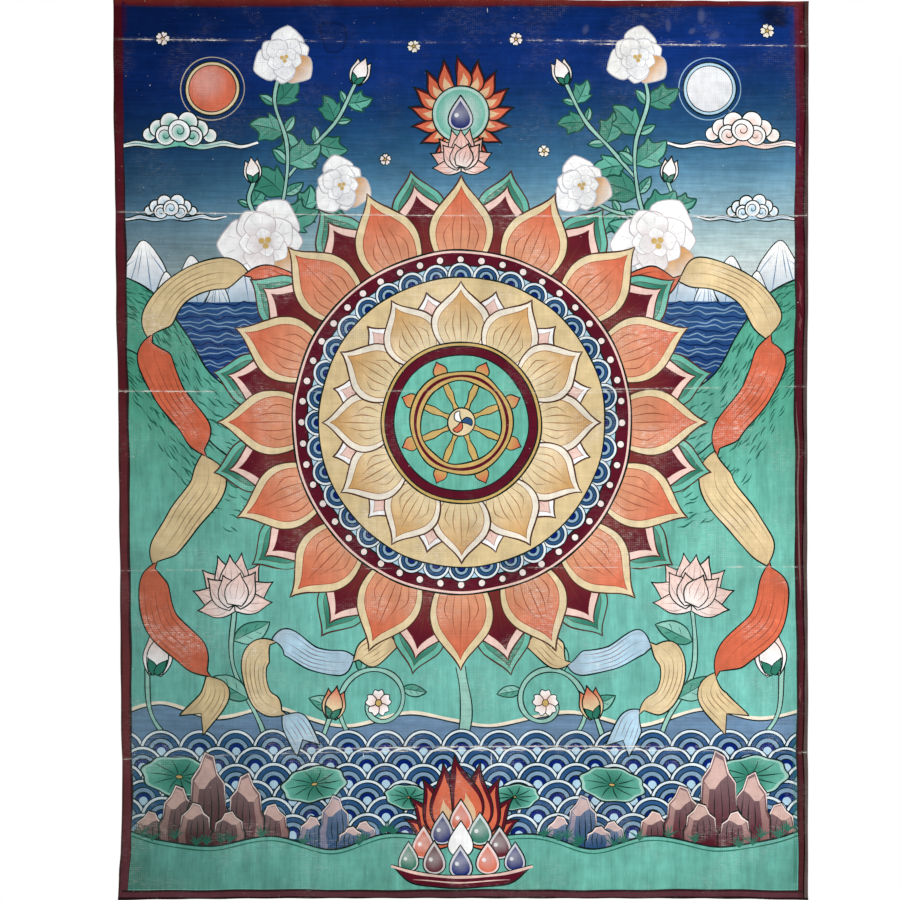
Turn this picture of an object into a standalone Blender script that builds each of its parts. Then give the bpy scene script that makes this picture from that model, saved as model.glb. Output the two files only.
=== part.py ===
"""Scroll painting on primed cotton, taken off its mount and hung flat against a wall.

Metres, +Z up, painted face towards -Y. The origin is the middle of the top edge, on the cloth's back.
Heights are given as drops below that origin, and depths as the distance forward from the wall.
"""

from bisect import bisect_right
from collections import namedtuple
from math import exp, pi, sin

import bmesh
import bpy

THICKNESS = 0.0011
BACK_STRIP = 0.012  # top of the cloth that lies truly flat on the wall, where it is fixed
FREE_BELOW = 0.045  # drop by which the cloth has left the wall
COLUMNS = 24
EDGE_CROWDING = 0.22  # 0 spaces the columns evenly, more brings them closer to the side edges
ROWS_PER_PANEL = 5
LOW_PANEL = 0.05  # a panel lower than this gets a single row

# Side edges, from the middle line, and how far each curls forward off the wall.
Side = namedtuple("Side", "drop left right left_curl right_curl")
SIDES = (
    Side(0.000, 0.2714, 0.2713, 0.0000, 0.0000),
    Side(0.078, 0.2708, 0.2707, 0.0006, 0.0010),
    Side(0.156, 0.2696, 0.2705, 0.0012, 0.0018),
    Side(0.234, 0.2687, 0.2703, 0.0009, 0.0010),
    Side(0.312, 0.2672, 0.2697, 0.0016, 0.0020),
    Side(0.390, 0.2663, 0.2696, 0.0028, 0.0024),
    Side(0.468, 0.2653, 0.2700, 0.0048, 0.0014),
    Side(0.546, 0.2646, 0.2703, 0.0062, 0.0020),
    Side(0.624, 0.2637, 0.2703, 0.0055, 0.0026),
    Side(0.663, 0.2649, 0.2700, 0.0042, 0.0030),
    Side(0.682, 0.2662, 0.2700, 0.0036, 0.0034),
    Side(0.702, 0.2671, 0.2701, 0.0032, 0.0038),
)
CURL_WIDTH = 0.045  # how far in from an edge its curl reaches

# Top and bottom cut edges, as drops at places across the cloth.
Cut = namedtuple("Cut", "across top bottom")
CUTS = (
    Cut(-0.272, -0.0004, 0.7017),
    Cut(-0.211, -0.0003, 0.7012),
    Cut(-0.150, -0.0001, 0.7007),
    Cut(0.000, 0.0000, 0.7006),
    Cut(0.065, 0.0001, 0.7007),
    Cut(0.115, 0.0008, 0.7007),
    Cut(0.183, 0.0009, 0.7008),
    Cut(0.206, 0.0013, 0.7010),
    Cut(0.272, 0.0014, 0.7016),
)

# Sharp folds left where the rolled scroll was crushed flat: their drops at the left edge, the middle and
# the right edge, and the depth and half width of the trough that each leaves in the painted face.
Crease = namedtuple("Crease", "left middle right depth half_width")
CREASES = (
    Crease(0.0311, 0.0339, 0.0365, 0.0009, 0.0035),
    Crease(0.1658, 0.1687, 0.1687, 0.0011, 0.0040),
    Crease(0.3055, 0.3051, 0.3017, 0.0010, 0.0040),
    Crease(0.4453, 0.4434, 0.4425, 0.0009, 0.0040),
    Crease(0.5921, 0.5856, 0.5870, 0.0015, 0.0050),
)
CREASE_ROWS = (-0.0100, -0.0042, -0.0015, 0.0, 0.0015, 0.0042, 0.0100)

# Between two creases the cloth bows forward, by these depths at the left, the middle and the right.
Panel = namedtuple("Panel", "left middle right")
PANELS = (
    Panel(0.0004, 0.0003, 0.0004),
    Panel(0.0019, 0.0025, 0.0021),
    Panel(0.0026, 0.0029, 0.0020),
    Panel(0.0021, 0.0024, 0.0027),
    Panel(0.0024, 0.0034, 0.0025),
    Panel(0.0029, 0.0022, 0.0026),
)
BOW_SHARPNESS = 2.2  # above 2 the bow is flatter in the middle and steeper at its creases
LAST_BOW = 0.62  # share of a bow that the lowest panel holds, which has no crease under it

# Slow ripples down the hanging cloth.
Ripple = namedtuple("Ripple", "depth length lean start")
RIPPLES = (
    Ripple(0.0005, 0.230, 0.30, 0.4),
    Ripple(0.0003, 0.118, -0.22, 2.1),
)

CLOTH_COLOUR = (0.145, 0.300, 0.245, 1.0)  # jade green, the colour that covers most of the face


def mix(a, b, t):
    return a + (b - a) * t


def ease(t):
    """0 to 1 with a soft start and a soft stop."""
    t = min(max(t, 0.0), 1.0)
    return t * t * (3 - 2 * t)


def across_three(row, across):
    """A row's left, middle and right values, smoothly joined, at a place from -1 to 1 across the cloth."""
    rise = (row.right - row.left) / 2
    bend = (row.right + row.left) / 2 - row.middle
    return row.middle + rise * across + bend * across * across


def table_value(rows, key, column, at):
    """A column of a table, eased between the rows on either side of a place."""
    keys = [getattr(row, key) for row in rows]
    upper = min(max(bisect_right(keys, at), 1), len(rows) - 1)
    low, high = rows[upper - 1], rows[upper]
    t = ease((at - keys[upper - 1]) / (keys[upper] - keys[upper - 1]))
    return mix(getattr(low, column), getattr(high, column), t)


def row_drops(across):
    """Drops of every row of points at a place from -1 to 1 across the cloth."""
    half_width = max(SIDES[0].left, SIDES[0].right)
    top = table_value(CUTS, "across", "top", across * half_width)
    bottom = table_value(CUTS, "across", "bottom", across * half_width)
    drops = [top, mix(top, BACK_STRIP, 0.5), BACK_STRIP]
    for crease in CREASES:
        fold = across_three(crease, across)
        gap = fold + CREASE_ROWS[0] - drops[-1]
        inner = ROWS_PER_PANEL if gap > LOW_PANEL else 1
        drops += [drops[-1] + gap * i / (inner + 1) for i in range(1, inner + 1)]
        drops += [fold + step for step in CREASE_ROWS]
    gap = bottom - drops[-1]
    inner = ROWS_PER_PANEL + 1
    drops += [drops[-1] + gap * i / inner for i in range(1, inner + 1)]
    return drops


def panel_bow(across, drop):
    """Depth of the bow of the panel between the creases above and below a point."""
    folds = [across_three(crease, across) for crease in CREASES]
    edges = [0.0] + folds + [CUTS[0].bottom]
    index = min(max(bisect_right(edges, drop), 1), len(PANELS)) - 1
    t = (drop - edges[index]) / (edges[index + 1] - edges[index])
    if index == len(PANELS) - 1:
        t *= LAST_BOW
    return across_three(PANELS[index], across) * (1 - abs(2 * t - 1) ** BOW_SHARPNESS)


def crease_trough(across, drop):
    """Depth of the troughs at the creases."""
    total = 0.0
    for crease in CREASES:
        away = abs(drop - across_three(crease, across)) / crease.half_width
        total += crease.depth * exp(-away)
    return total


def edge_curl(across, drop):
    """How far the nearer side edge's curl lifts a point."""
    half_width = table_value(SIDES, "drop", "left" if across < 0 else "right", drop)
    lift = table_value(SIDES, "drop", "left_curl" if across < 0 else "right_curl", drop)
    inside = half_width * (1 - abs(across))
    return lift * max(0.0, 1 - inside / CURL_WIDTH) ** 2


def forward(across, drop):
    """Distance of the cloth's back from the wall."""
    if drop <= BACK_STRIP:
        return 0.0
    leave = ease((drop - BACK_STRIP) / (FREE_BELOW - BACK_STRIP))
    deepest = max(crease.depth for crease in CREASES)
    depth = deepest + panel_bow(across, drop) - crease_trough(across, drop) + edge_curl(across, drop)
    for ripple in RIPPLES:
        phase = 2 * pi * (across * SIDES[0].left + ripple.lean * drop) / ripple.length + ripple.start
        depth += ripple.depth * (1 + sin(phase)) / 2
    return max(depth, 0.0) * leave


def column_places():
    """Places across the cloth, from -1 to 1, closer together towards the two side edges."""
    places = []
    for i in range(COLUMNS + 1):
        even = 2 * i / COLUMNS - 1
        places.append(mix(even, sin(even * pi / 2), EDGE_CROWDING))
    return places


def build_sheet(name):
    """The cloth's back as a grid of faces whose normals point forward, to -Y."""
    mesh = bpy.data.meshes.new(name)
    bm = bmesh.new()
    columns = []
    for across in column_places():
        side = "left" if across < 0 else "right"
        points = []
        for drop in row_drops(across):
            half_width = table_value(SIDES, "drop", side, drop)
            place = (across * half_width, -forward(across, drop), -drop)
            points.append(bm.verts.new(place))
        columns.append(points)
    for left, right in zip(columns, columns[1:]):
        for row in range(len(left) - 1):
            bm.faces.new((left[row], left[row + 1], right[row + 1], right[row]))
    bm.to_mesh(mesh)
    bm.free()
    return mesh


def cloth_material():
    """Glue-bound mineral paint on chalk-primed cotton: dull, and not metallic."""
    material = bpy.data.materials.new("distemper_on_cotton")
    material.use_nodes = True
    shader = material.node_tree.nodes["Principled BSDF"]
    shader.inputs["Base Color"].default_value = CLOTH_COLOUR
    shader.inputs["Roughness"].default_value = 0.85
    shader.inputs["Metallic"].default_value = 0.0
    return material


def add_painted_cloth():
    """One sheet of one thickness, from its back on the wall to its painted face."""
    mesh = build_sheet("painted_cloth")
    mesh.materials.append(cloth_material())
    cloth = bpy.data.objects.new("painted_cloth", mesh)
    bpy.context.scene.collection.objects.link(cloth)
    mesh.shade_smooth()
    solidify = cloth.modifiers.new("cloth thickness", "SOLIDIFY")
    solidify.thickness = THICKNESS
    solidify.offset = 1.0
    solidify.use_even_offset = True
    solidify.use_rim = True
    return cloth


def main():
    for old in list(bpy.data.objects):
        bpy.data.objects.remove(old, do_unlink=True)
    add_painted_cloth()


main()
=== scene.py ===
"""A worn scroll picture: mineral colours in glue on chalk-primed cotton, off its mount and hung flat.

Metres, +Z up, painted face towards -Y, as in the frame. The picture itself is laid out on a flat canvas in
millimetres: x to the right of the middle line, y down from the top edge, both held in one complex number, so
that turning a motif is one multiplication. Everything on it is a plain area of colour with a cut outline,
laid down in the order in which it was painted. The canvas is then cut into triangles along the outlines that
still show, and bent over the cloth's folds.
"""

import cmath
from collections import namedtuple
from math import pi, radians
from types import SimpleNamespace

import bpy
import numpy as np
from bpy.props import FloatProperty, FloatVectorProperty, PointerProperty
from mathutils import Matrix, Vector
from mathutils.geometry import delaunay_2d_cdt


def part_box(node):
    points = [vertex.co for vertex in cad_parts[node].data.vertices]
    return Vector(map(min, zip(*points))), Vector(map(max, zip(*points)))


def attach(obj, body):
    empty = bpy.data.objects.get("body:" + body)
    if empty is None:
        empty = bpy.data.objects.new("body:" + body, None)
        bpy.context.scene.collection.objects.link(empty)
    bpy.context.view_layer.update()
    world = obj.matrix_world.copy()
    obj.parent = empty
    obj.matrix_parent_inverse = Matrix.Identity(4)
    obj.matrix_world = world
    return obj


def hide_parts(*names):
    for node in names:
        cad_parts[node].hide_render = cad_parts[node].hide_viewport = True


bl_info = {
    "name": "Scroll Picture",
    "version": (1, 0, 0),
    "blender": (4, 5, 0),
    "location": "3D View > Sidebar > Scroll Picture",
    "description": "A worn painted cotton scroll picture, hung flat, with its floor, lights and camera",
    "category": "Object",
}

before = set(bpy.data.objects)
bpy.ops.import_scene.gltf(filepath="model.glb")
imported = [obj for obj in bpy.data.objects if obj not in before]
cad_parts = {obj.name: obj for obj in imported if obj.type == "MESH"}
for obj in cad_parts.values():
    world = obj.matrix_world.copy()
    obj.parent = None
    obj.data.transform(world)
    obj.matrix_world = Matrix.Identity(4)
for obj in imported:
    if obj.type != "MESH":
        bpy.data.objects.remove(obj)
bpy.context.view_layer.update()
MM = 0.001
CLOTH_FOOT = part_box("painted_cloth")[0][2]  # height of the cloth's lowest point

# ---------------------------------------------------------------------------------------------- the cloth

BACK_STRIP = 0.012  # top of the cloth that lies truly flat on the wall, where it is fixed
FREE_BELOW = 0.045  # drop by which the cloth has left the wall
CURL_WIDTH = 0.045  # how far in from a side edge its curl reaches

# Side edges, from the middle line, and how far each curls forward off the wall.
Side = namedtuple("Side", "drop left right left_curl right_curl")
SIDES = (
    Side(0.000, 0.2714, 0.2713, 0.0000, 0.0000),
    Side(0.078, 0.2708, 0.2707, 0.0006, 0.0010),
    Side(0.156, 0.2696, 0.2705, 0.0012, 0.0018),
    Side(0.234, 0.2687, 0.2703, 0.0009, 0.0010),
    Side(0.312, 0.2672, 0.2697, 0.0016, 0.0020),
    Side(0.390, 0.2663, 0.2696, 0.0028, 0.0024),
    Side(0.468, 0.2653, 0.2700, 0.0048, 0.0014),
    Side(0.546, 0.2646, 0.2703, 0.0062, 0.0020),
    Side(0.624, 0.2637, 0.2703, 0.0055, 0.0026),
    Side(0.663, 0.2649, 0.2700, 0.0042, 0.0030),
    Side(0.682, 0.2662, 0.2700, 0.0036, 0.0034),
    Side(0.702, 0.2671, 0.2701, 0.0032, 0.0038),
)

# Top and bottom cut edges, as drops at places across the cloth.
Cut = namedtuple("Cut", "across top bottom")
CUTS = (
    Cut(-0.272, -0.0004, 0.7017),
    Cut(-0.211, -0.0003, 0.7012),
    Cut(-0.150, -0.0001, 0.7007),
    Cut(0.000, 0.0000, 0.7006),
    Cut(0.065, 0.0001, 0.7007),
    Cut(0.115, 0.0008, 0.7007),
    Cut(0.183, 0.0009, 0.7008),
    Cut(0.206, 0.0013, 0.7010),
    Cut(0.272, 0.0014, 0.7016),
)

# Sharp folds left where the rolled scroll was crushed flat: their drops at the left edge, the middle and
# the right edge, and the depth and half width of the trough that each leaves in the painted face.
Crease = namedtuple("Crease", "left middle right depth half_width")
CREASES = (
    Crease(0.0311, 0.0339, 0.0365, 0.0009, 0.0035),
    Crease(0.1658, 0.1687, 0.1687, 0.0011, 0.0040),
    Crease(0.3055, 0.3051, 0.3017, 0.0010, 0.0040),
    Crease(0.4453, 0.4434, 0.4425, 0.0009, 0.0040),
    Crease(0.5921, 0.5856, 0.5870, 0.0015, 0.0050),
)
CREASE_ROWS = (-0.0100, -0.0042, -0.0015, 0.0, 0.0015, 0.0042, 0.0100)

# Between two creases the cloth bows forward, by these depths at the left, the middle and the right.
Panel = namedtuple("Panel", "left middle right")
PANELS = (
    Panel(0.0004, 0.0003, 0.0004),
    Panel(0.0019, 0.0025, 0.0021),
    Panel(0.0026, 0.0029, 0.0020),
    Panel(0.0021, 0.0024, 0.0027),
    Panel(0.0024, 0.0034, 0.0025),
    Panel(0.0029, 0.0022, 0.0026),
)
BOW_SHARPNESS = 2.2  # above 2 the bow is flatter in the middle and steeper at its creases
LAST_BOW = 0.62  # share of a bow that the lowest panel holds, which has no crease under it

# Slow ripples down the hanging cloth.
Ripple = namedtuple("Ripple", "depth length lean start")
RIPPLES = (
    Ripple(0.0005, 0.230, 0.30, 0.4),
    Ripple(0.0003, 0.118, -0.22, 2.1),
)

# How far the paint has flaked off along each crease, at places across the cloth in millimetres.
FLAKED_AT = (-271, -215, -170, -140, -60, -20, 20, 90, 112, 185, 215, 271)
FLAKED = (
    (0.60, 0.78, 0.46, 0.28, 0.30, 0.30, 0.05, 0.10, 0.85, 0.80, 0.36, 0.50),
    (0.70, 0.95, 0.95, 0.85, 0.95, 0.70, 0.55, 0.75, 0.95, 0.90, 0.60, 0.70),
    (0.70, 0.92, 0.15, 0.10, 0.55, 0.30, 0.20, 0.55, 0.60, 0.55, 0.25, 0.35),
    (0.35, 0.52, 0.30, 0.30, 0.30, 0.15, 0.15, 0.50, 0.62, 0.35, 0.55, 0.30),
    (0.40, 0.35, 0.35, 0.55, 0.80, 0.80, 0.80, 0.90, 0.95, 0.75, 0.35, 0.50),
)

# A second, finer line beside three of the creases: how far above, or below where the gap is less than 0,
# and how far flaked off at the same places.
Twin = namedtuple("Twin", "crease gap flaked")
TWINS = (
    Twin(CREASES[0], 2.5, (0, 0, 0, 0, 0, 0, 0, 0.62, 0.66, 0, 0, 0)),
    Twin(CREASES[2], -2.4, (0, 0, 0, 0, 0, 0, 0, 0.60, 0.62, 0, 0, 0)),
    Twin(CREASES[-1], 3.1, (0, 0, 0, 0.35, 0.85, 0.75, 0.75, 0.85, 0.85, 0.30, 0, 0)),
)


def mix(a, b, t):
    return a + (b - a) * t


def ease(t):
    """0 to 1 with a soft start and a soft stop."""
    t = np.clip(t, 0.0, 1.0)
    return t * t * (3 - 2 * t)


def across_three(row, across):
    """A row's left, middle and right values, smoothly joined, at places from -1 to 1 across the cloth."""
    rise = (row.right - row.left) / 2
    bend = (row.right + row.left) / 2 - row.middle
    return row.middle + rise * across + bend * across * across


def table_value(rows, key, column, at):
    """A column of a table, eased between the rows on either side of each place."""
    keys = np.array([getattr(row, key) for row in rows])
    values = np.array([getattr(row, column) for row in rows])
    upper = np.clip(np.searchsorted(keys, at, side="right"), 1, len(rows) - 1)
    t = ease((at - keys[upper - 1]) / (keys[upper] - keys[upper - 1]))
    return mix(values[upper - 1], values[upper], t)


def by_side(across, drop, kind):
    """The left or the right side edge's value of a kind, for each place."""
    left = table_value(SIDES, "drop", "left" + kind, drop)
    right = table_value(SIDES, "drop", "right" + kind, drop)
    return np.where(across < 0, left, right)


def panel_bow(across, drop):
    """Depth of the bow of the panel between the creases above and below each place."""
    folds = [across_three(crease, across) for crease in CREASES]
    edges = np.array([np.zeros_like(across), *folds, np.full_like(across, CUTS[0].bottom)])
    index = np.clip((edges <= drop).sum(axis=0), 1, len(PANELS)) - 1
    upper = np.take_along_axis(edges, index[None], axis=0)[0]
    lower = np.take_along_axis(edges, index[None] + 1, axis=0)[0]
    t = (drop - upper) / (lower - upper)
    t = np.where(index == len(PANELS) - 1, t * LAST_BOW, t)
    depths = np.array([across_three(panel, across) for panel in PANELS])
    depth = np.take_along_axis(depths, index[None], axis=0)[0]
    return depth * (1 - np.abs(2 * t - 1) ** BOW_SHARPNESS)


def forward(across, drop):
    """Distance of the cloth's back from the wall."""
    depth = max(crease.depth for crease in CREASES) + panel_bow(across, drop)
    for crease in CREASES:
        depth -= crease.depth * np.exp(-np.abs(drop - across_three(crease, across)) / crease.half_width)
    inside = by_side(across, drop, "") * (1 - np.abs(across))
    depth += by_side(across, drop, "_curl") * np.maximum(0, 1 - inside / CURL_WIDTH) ** 2
    for ripple in RIPPLES:
        phase = 2 * pi * (across * SIDES[0].left + ripple.lean * drop) / ripple.length + ripple.start
        depth += ripple.depth * (1 + np.sin(phase)) / 2
    return np.maximum(depth, 0) * ease((drop - BACK_STRIP) / (FREE_BELOW - BACK_STRIP))


def on_back(across, drop):
    """Points of the cloth's back, as rows of x, y, z."""
    return np.column_stack((across * by_side(across, drop, ""), -forward(across, drop), -drop))


def facing(across, drop, reach=0.0006):
    """Directions straight out of the painted face, from the slope of the cloth around each point."""
    step = reach / SIDES[0].left
    right = on_back(across + step, drop) - on_back(across - step, drop)
    down = on_back(across, drop + reach) - on_back(across, drop - reach)
    out = np.cross(down, right)
    out *= np.where(out[:, 1:2] > 0, -1, 1)
    return out / np.linalg.norm(out, axis=1, keepdims=True)


# ----------------------------------------------------------------------------------- lines on the canvas

HALF_WIDTH = SIDES[0].left / MM
BOTTOM = CUTS[0].bottom / MM


def turn(degrees):
    """The direction so many degrees round from +x, clockwise as seen, because y runs down."""
    return cmath.exp(1j * radians(degrees))


def points_of(places):
    """Pairs of x and y, or complex numbers, as one row of complex numbers."""
    return np.array([place if isinstance(place, complex) else complex(*place) for place in places])


def smooth(places, closed=False, step=2.4):
    """A soft curve through the places, as points about a step apart."""
    p = points_of(places)
    if closed:
        p = np.concatenate((p[-1:], p, p[:2]))
    else:
        p = np.concatenate((2 * p[:1] - p[1:2], p, 2 * p[-1:] - p[-2:-1]))
    curve = []
    for a, b, c, d in zip(p, p[1:], p[2:], p[3:]):
        ab, bc, cd = (max(abs(gap), 1e-6) ** 0.5 for gap in (b - a, c - b, d - c))
        leave = ((b - a) / ab - (c - a) / (ab + bc) + (c - b) / bc) * bc
        arrive = ((c - b) / bc - (d - b) / (bc + cd) + (d - c) / cd) * bc
        count = max(2, round(abs(c - b) / step))
        t = np.arange(count) / count
        curve.append(
            (2 * t**3 - 3 * t**2 + 1) * b + (t**3 - 2 * t**2 + t) * leave
            + (3 * t**2 - 2 * t**3) * c + (t**3 - t**2) * arrive
        )
    if not closed:
        curve.append(p[-2:-1])
    return np.concatenate(curve)


def arc(centre, radius, start=0.0, stop=360.0, step=2.4):
    """Part of a circle between two angles, or a whole one without its last point again."""
    count = max(8, round(abs(radians(stop - start)) * radius / step))
    whole = stop - start == 360
    angles = np.radians(np.linspace(start, stop, count + 1)[: -1 if whole else None])
    return centre + radius * np.exp(1j * angles)


def box(left, top, right, bottom, step=6.0):
    """A rectangle with points along its sides, so that it can follow the cloth's folds."""
    corners = points_of([(left, top), (right, top), (right, bottom), (left, bottom)])
    sides = []
    for a, b in zip(corners, np.roll(corners, -1)):
        count = max(1, round(abs(b - a) / step))
        sides.append(mix(a, b, np.arange(count) / count))
    return np.concatenate(sides)


def thinned(outline, slack=0.05, longest=8.0):
    """The outline without the points that lie nearly straight between their neighbours."""
    for _ in range(3):
        before, after = np.roll(outline, 1), np.roll(outline, -1)
        chord = after - before
        off = abs(((outline - before) * chord.conjugate()).imag) / np.maximum(abs(chord), 1e-9)
        spare = (off < slack) & (abs(chord) < longest)
        spare[::2] = False
        outline = outline[~spare]
    return outline


def mirrored(points, side=1):
    """The same points on the other side of the middle line, or as they are if side is 1."""
    return points if side > 0 else -np.conjugate(points)


def unsteady(points):
    """The points as a hand would set them: no brush line is quite true, and neighbours stray together."""
    x, y = points.real, points.imag
    aside = 0.34 * np.sin(x / 17 + y / 23 + 1.3) + 0.22 * np.sin(y / 8.3 - x / 29)
    along = 0.32 * np.sin(y / 19 - x / 26 + 0.4) + 0.22 * np.sin(x / 7.9 + y / 33)
    return points + aside + 1j * along


def inside(outline, at):
    """Whether each point lies inside a closed outline, by how often the outline winds round it."""
    a, b = outline, np.roll(outline, -1)
    winds = np.zeros(len(at), int)
    block = max(1, 3_000_000 // len(outline))
    for first in range(0, len(at), block):
        p = at[first : first + block, None]
        turn_side = (b.real - a.real) * (p.imag - a.imag) - (p.real - a.real) * (b.imag - a.imag)
        rises = (a.imag <= p.imag) & (b.imag > p.imag) & (turn_side > 0)
        falls = (a.imag > p.imag) & (b.imag <= p.imag) & (turn_side < 0)
        winds[first : first + block] = rises.sum(axis=1) - falls.sum(axis=1)
    return winds != 0


# ----------------------------------------------------------------------------------- colours and brushes


def linear(code):
    """An sRGB hex colour as linear red, green and blue."""
    levels = np.array([int(code[i : i + 2], 16) for i in (1, 3, 5)]) / 255
    return tuple(np.where(levels <= 0.04045, levels / 12.92, ((levels + 0.055) / 1.055) ** 2.4))


def solid(colour, cover=1.0):
    """Paint of one colour. A cover under 1 is a glaze that the paint below shows through."""
    return lambda at: np.tile((*colour[:3], cover), (len(at), 1))


def fade(first, last, start, stop, covers=(1.0, 1.0)):
    """Paint that turns from one colour to another between two places."""
    first, last = (np.array((*c[:3], cover)) for c, cover in zip((first, last), covers))

    def paint(at):
        t = ((at - start) * (stop - start).conjugate()).real / abs(stop - start) ** 2
        return mix(first, last, ease(t)[:, None])

    return paint


def glow(first, last, centre, inner, outer, covers=(1.0, 1.0)):
    """Paint that turns from one colour to another outwards from a centre."""
    first, last = (np.array((*c[:3], cover)) for c, cover in zip((first, last), covers))

    def paint(at):
        t = (abs(at - centre) - inner) / (outer - inner)
        return mix(first, last, ease(t)[:, None])

    return paint


def bands(stops, slant=0.0):
    """Paint that changes with its height, through pairs of a height and a hex colour. A slant carries
    the colours of lower places up towards the right."""
    heights = [height for height, _ in stops]
    colours = np.array([linear(code) for _, code in stops])

    def paint(at):
        height = at.imag + slant * at.real
        columns = [np.interp(height, heights, colours[:, i]) for i in range(3)]
        return np.column_stack((*columns, np.ones(len(at))))

    return paint


# How a colour was laid on and has worn: how far its strokes show down and across the cloth, and how far
# rubbing has bared the threads.
Brush = namedtuple("Brush", "down across bare")
WASH_ACROSS = Brush(0.15, 1.0, 0.10)
WASH_DOWN = Brush(1.0, 0.15, 0.25)
THIN_COAT = Brush(0.45, 0.35, 1.0)
FULL_COAT = Brush(0.30, 0.25, 0.45)
DENSE_COAT = Brush(0.10, 0.55, 0.15)
BORDER_COAT = Brush(0.20, 0.45, 0.07)

Area = namedtuple("Area", "outline paint brush glaze")


class Canvas:
    """The painted areas, in the order in which they were laid down."""

    def __init__(self, pigments):
        self.areas = []
        self.pigments = pigments

    def fill(self, outline, paint, brush=FULL_COAT, glaze=False):
        """An area of colour. A glaze is laid over what it covers and doesn't hide it."""
        if not callable(paint):
            paint = solid(paint)
        self.areas.append(Area(thinned(unsteady(outline)), paint, brush, glaze))

    def line(self, points, width=1.3, paint=None, closed=False, taper=0.0, glaze=False):
        """A brush line along points, drawn out to fine ends over a share of its length if it has a taper."""
        points = points[np.concatenate(([True], abs(np.diff(points)) > 1e-4))]
        if closed:
            ahead = np.roll(points, -1) - np.roll(points, 1)
        else:
            first, last = points[1:2] - points[:1], points[-1:] - points[-2:-1]
            ahead = np.concatenate((first, points[2:] - points[:-2], last))
        swell = 1 + 0.16 * np.sin(points.real / 6.1 + points.imag / 9.7)
        half = 0.5 * width * swell
        if taper:
            t = np.linspace(0, 1, len(points))
            half *= 0.16 + 0.84 * ease(np.minimum(t, 1 - t) / taper)
        aside = 1j * ahead / np.maximum(abs(ahead), 1e-9) * half
        left, right = points + aside, points - aside
        if closed:
            outline = np.concatenate((left, left[:1], right[:1], right[:0:-1], right[:1]))
        else:
            outline = np.concatenate((left, right[::-1]))
        self.fill(outline, self.pigments.ink if paint is None else paint, DENSE_COAT, glaze)

    def shape(self, outline, paint, brush=FULL_COAT, ink=None, width=1.3):
        """An area of colour with a brush line round it."""
        self.fill(outline, paint, brush)
        self.line(outline, width, ink, closed=True)


# ---------------------------------------------------------------------------------------------- motifs


def petal(length, width):
    """Outline of a petal along +x from its foot at 0: full shoulders, drawn in to a hollow-sided point."""
    side = smooth(
        [(0, 0.30 * width), (0.20 * length, 0.45 * width), (0.40 * length, 0.50 * width),
         (0.58 * length, 0.43 * width), (0.73 * length, 0.27 * width), (0.85 * length, 0.12 * width),
         (0.94 * length, 0.035 * width), (length, 0)],
        step=2.2,
    )
    return np.concatenate((side, side[-2::-1].conjugate()))


def paint_petal(canvas, foot, along, length, width, rim, heart, tip, veins):
    """A petal with a pale rim, a heart that deepens towards its tip, and fine veins. Dark hearts have
    worn less."""
    coat = THIN_COAT if np.mean(heart) > 0.25 else FULL_COAT
    outer = foot + along * petal(length, width)
    canvas.shape(outer, rim, THIN_COAT, mix(canvas.pigments.ink, canvas.pigments.brown, 0.45), 1.2)
    inner = foot + along * (petal(length * 0.86, width * 0.78) + 0.02 * length)
    canvas.fill(inner, fade(heart, tip, foot + along * length * 0.15, foot + along * length * 0.9), coat)
    canvas.line(inner, 0.6, mix(tip, canvas.pigments.brown, 0.6), closed=True)
    vein = mix(tip, canvas.pigments.brown, 0.7)
    for spread in np.linspace(-1, 1, 2 * veins + 1):
        reach = 0.74 - 0.26 * abs(spread)
        places = [(0.10, 0.17 * spread), (0.10 + 0.5 * reach, 0.27 * spread), (reach, 0.16 * spread)]
        run = smooth([(x * length, y * width) for x, y in places], step=4.0)
        canvas.line(foot + along * run, 0.7, vein, taper=0.4)


def petal_ring(canvas, centre, count, start, foot_radius, length, width, rim, heart, tip, veins):
    """A ring of petals that point outwards, each with so many veins on either side of its middle one."""
    for i in range(count):
        along = turn(start + 360 * i / count)
        paint_petal(canvas, centre + foot_radius * along, along, length, width, rim, heart, tip, veins)


def spiral(centre, radius, start, turns, step=1.6):
    """A curl that winds in from its radius to near its centre. Negative turns wind the other way."""
    count = max(10, round(abs(turns) * 2 * pi * radius * 0.6 / step))
    t = np.linspace(0, 1, count)
    return centre + radius * (1 - 0.86 * t) * np.exp(1j * (radians(start) + 2 * pi * turns * t))


Lobe = namedtuple("Lobe", "x y radius curl")
CLOUD_LOBES = (
    Lobe(-30, 2, 7, 0), Lobe(30, 3, 7, 0), Lobe(-21, -4, 9, 0), Lobe(20, -4, 9, 0), Lobe(-9, -10, 10, 0),
    Lobe(9, -11, 10, 0), Lobe(-14, 3, 10, 1), Lobe(13, 3, 10, -1), Lobe(0, -2, 11, 1),
)


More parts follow.
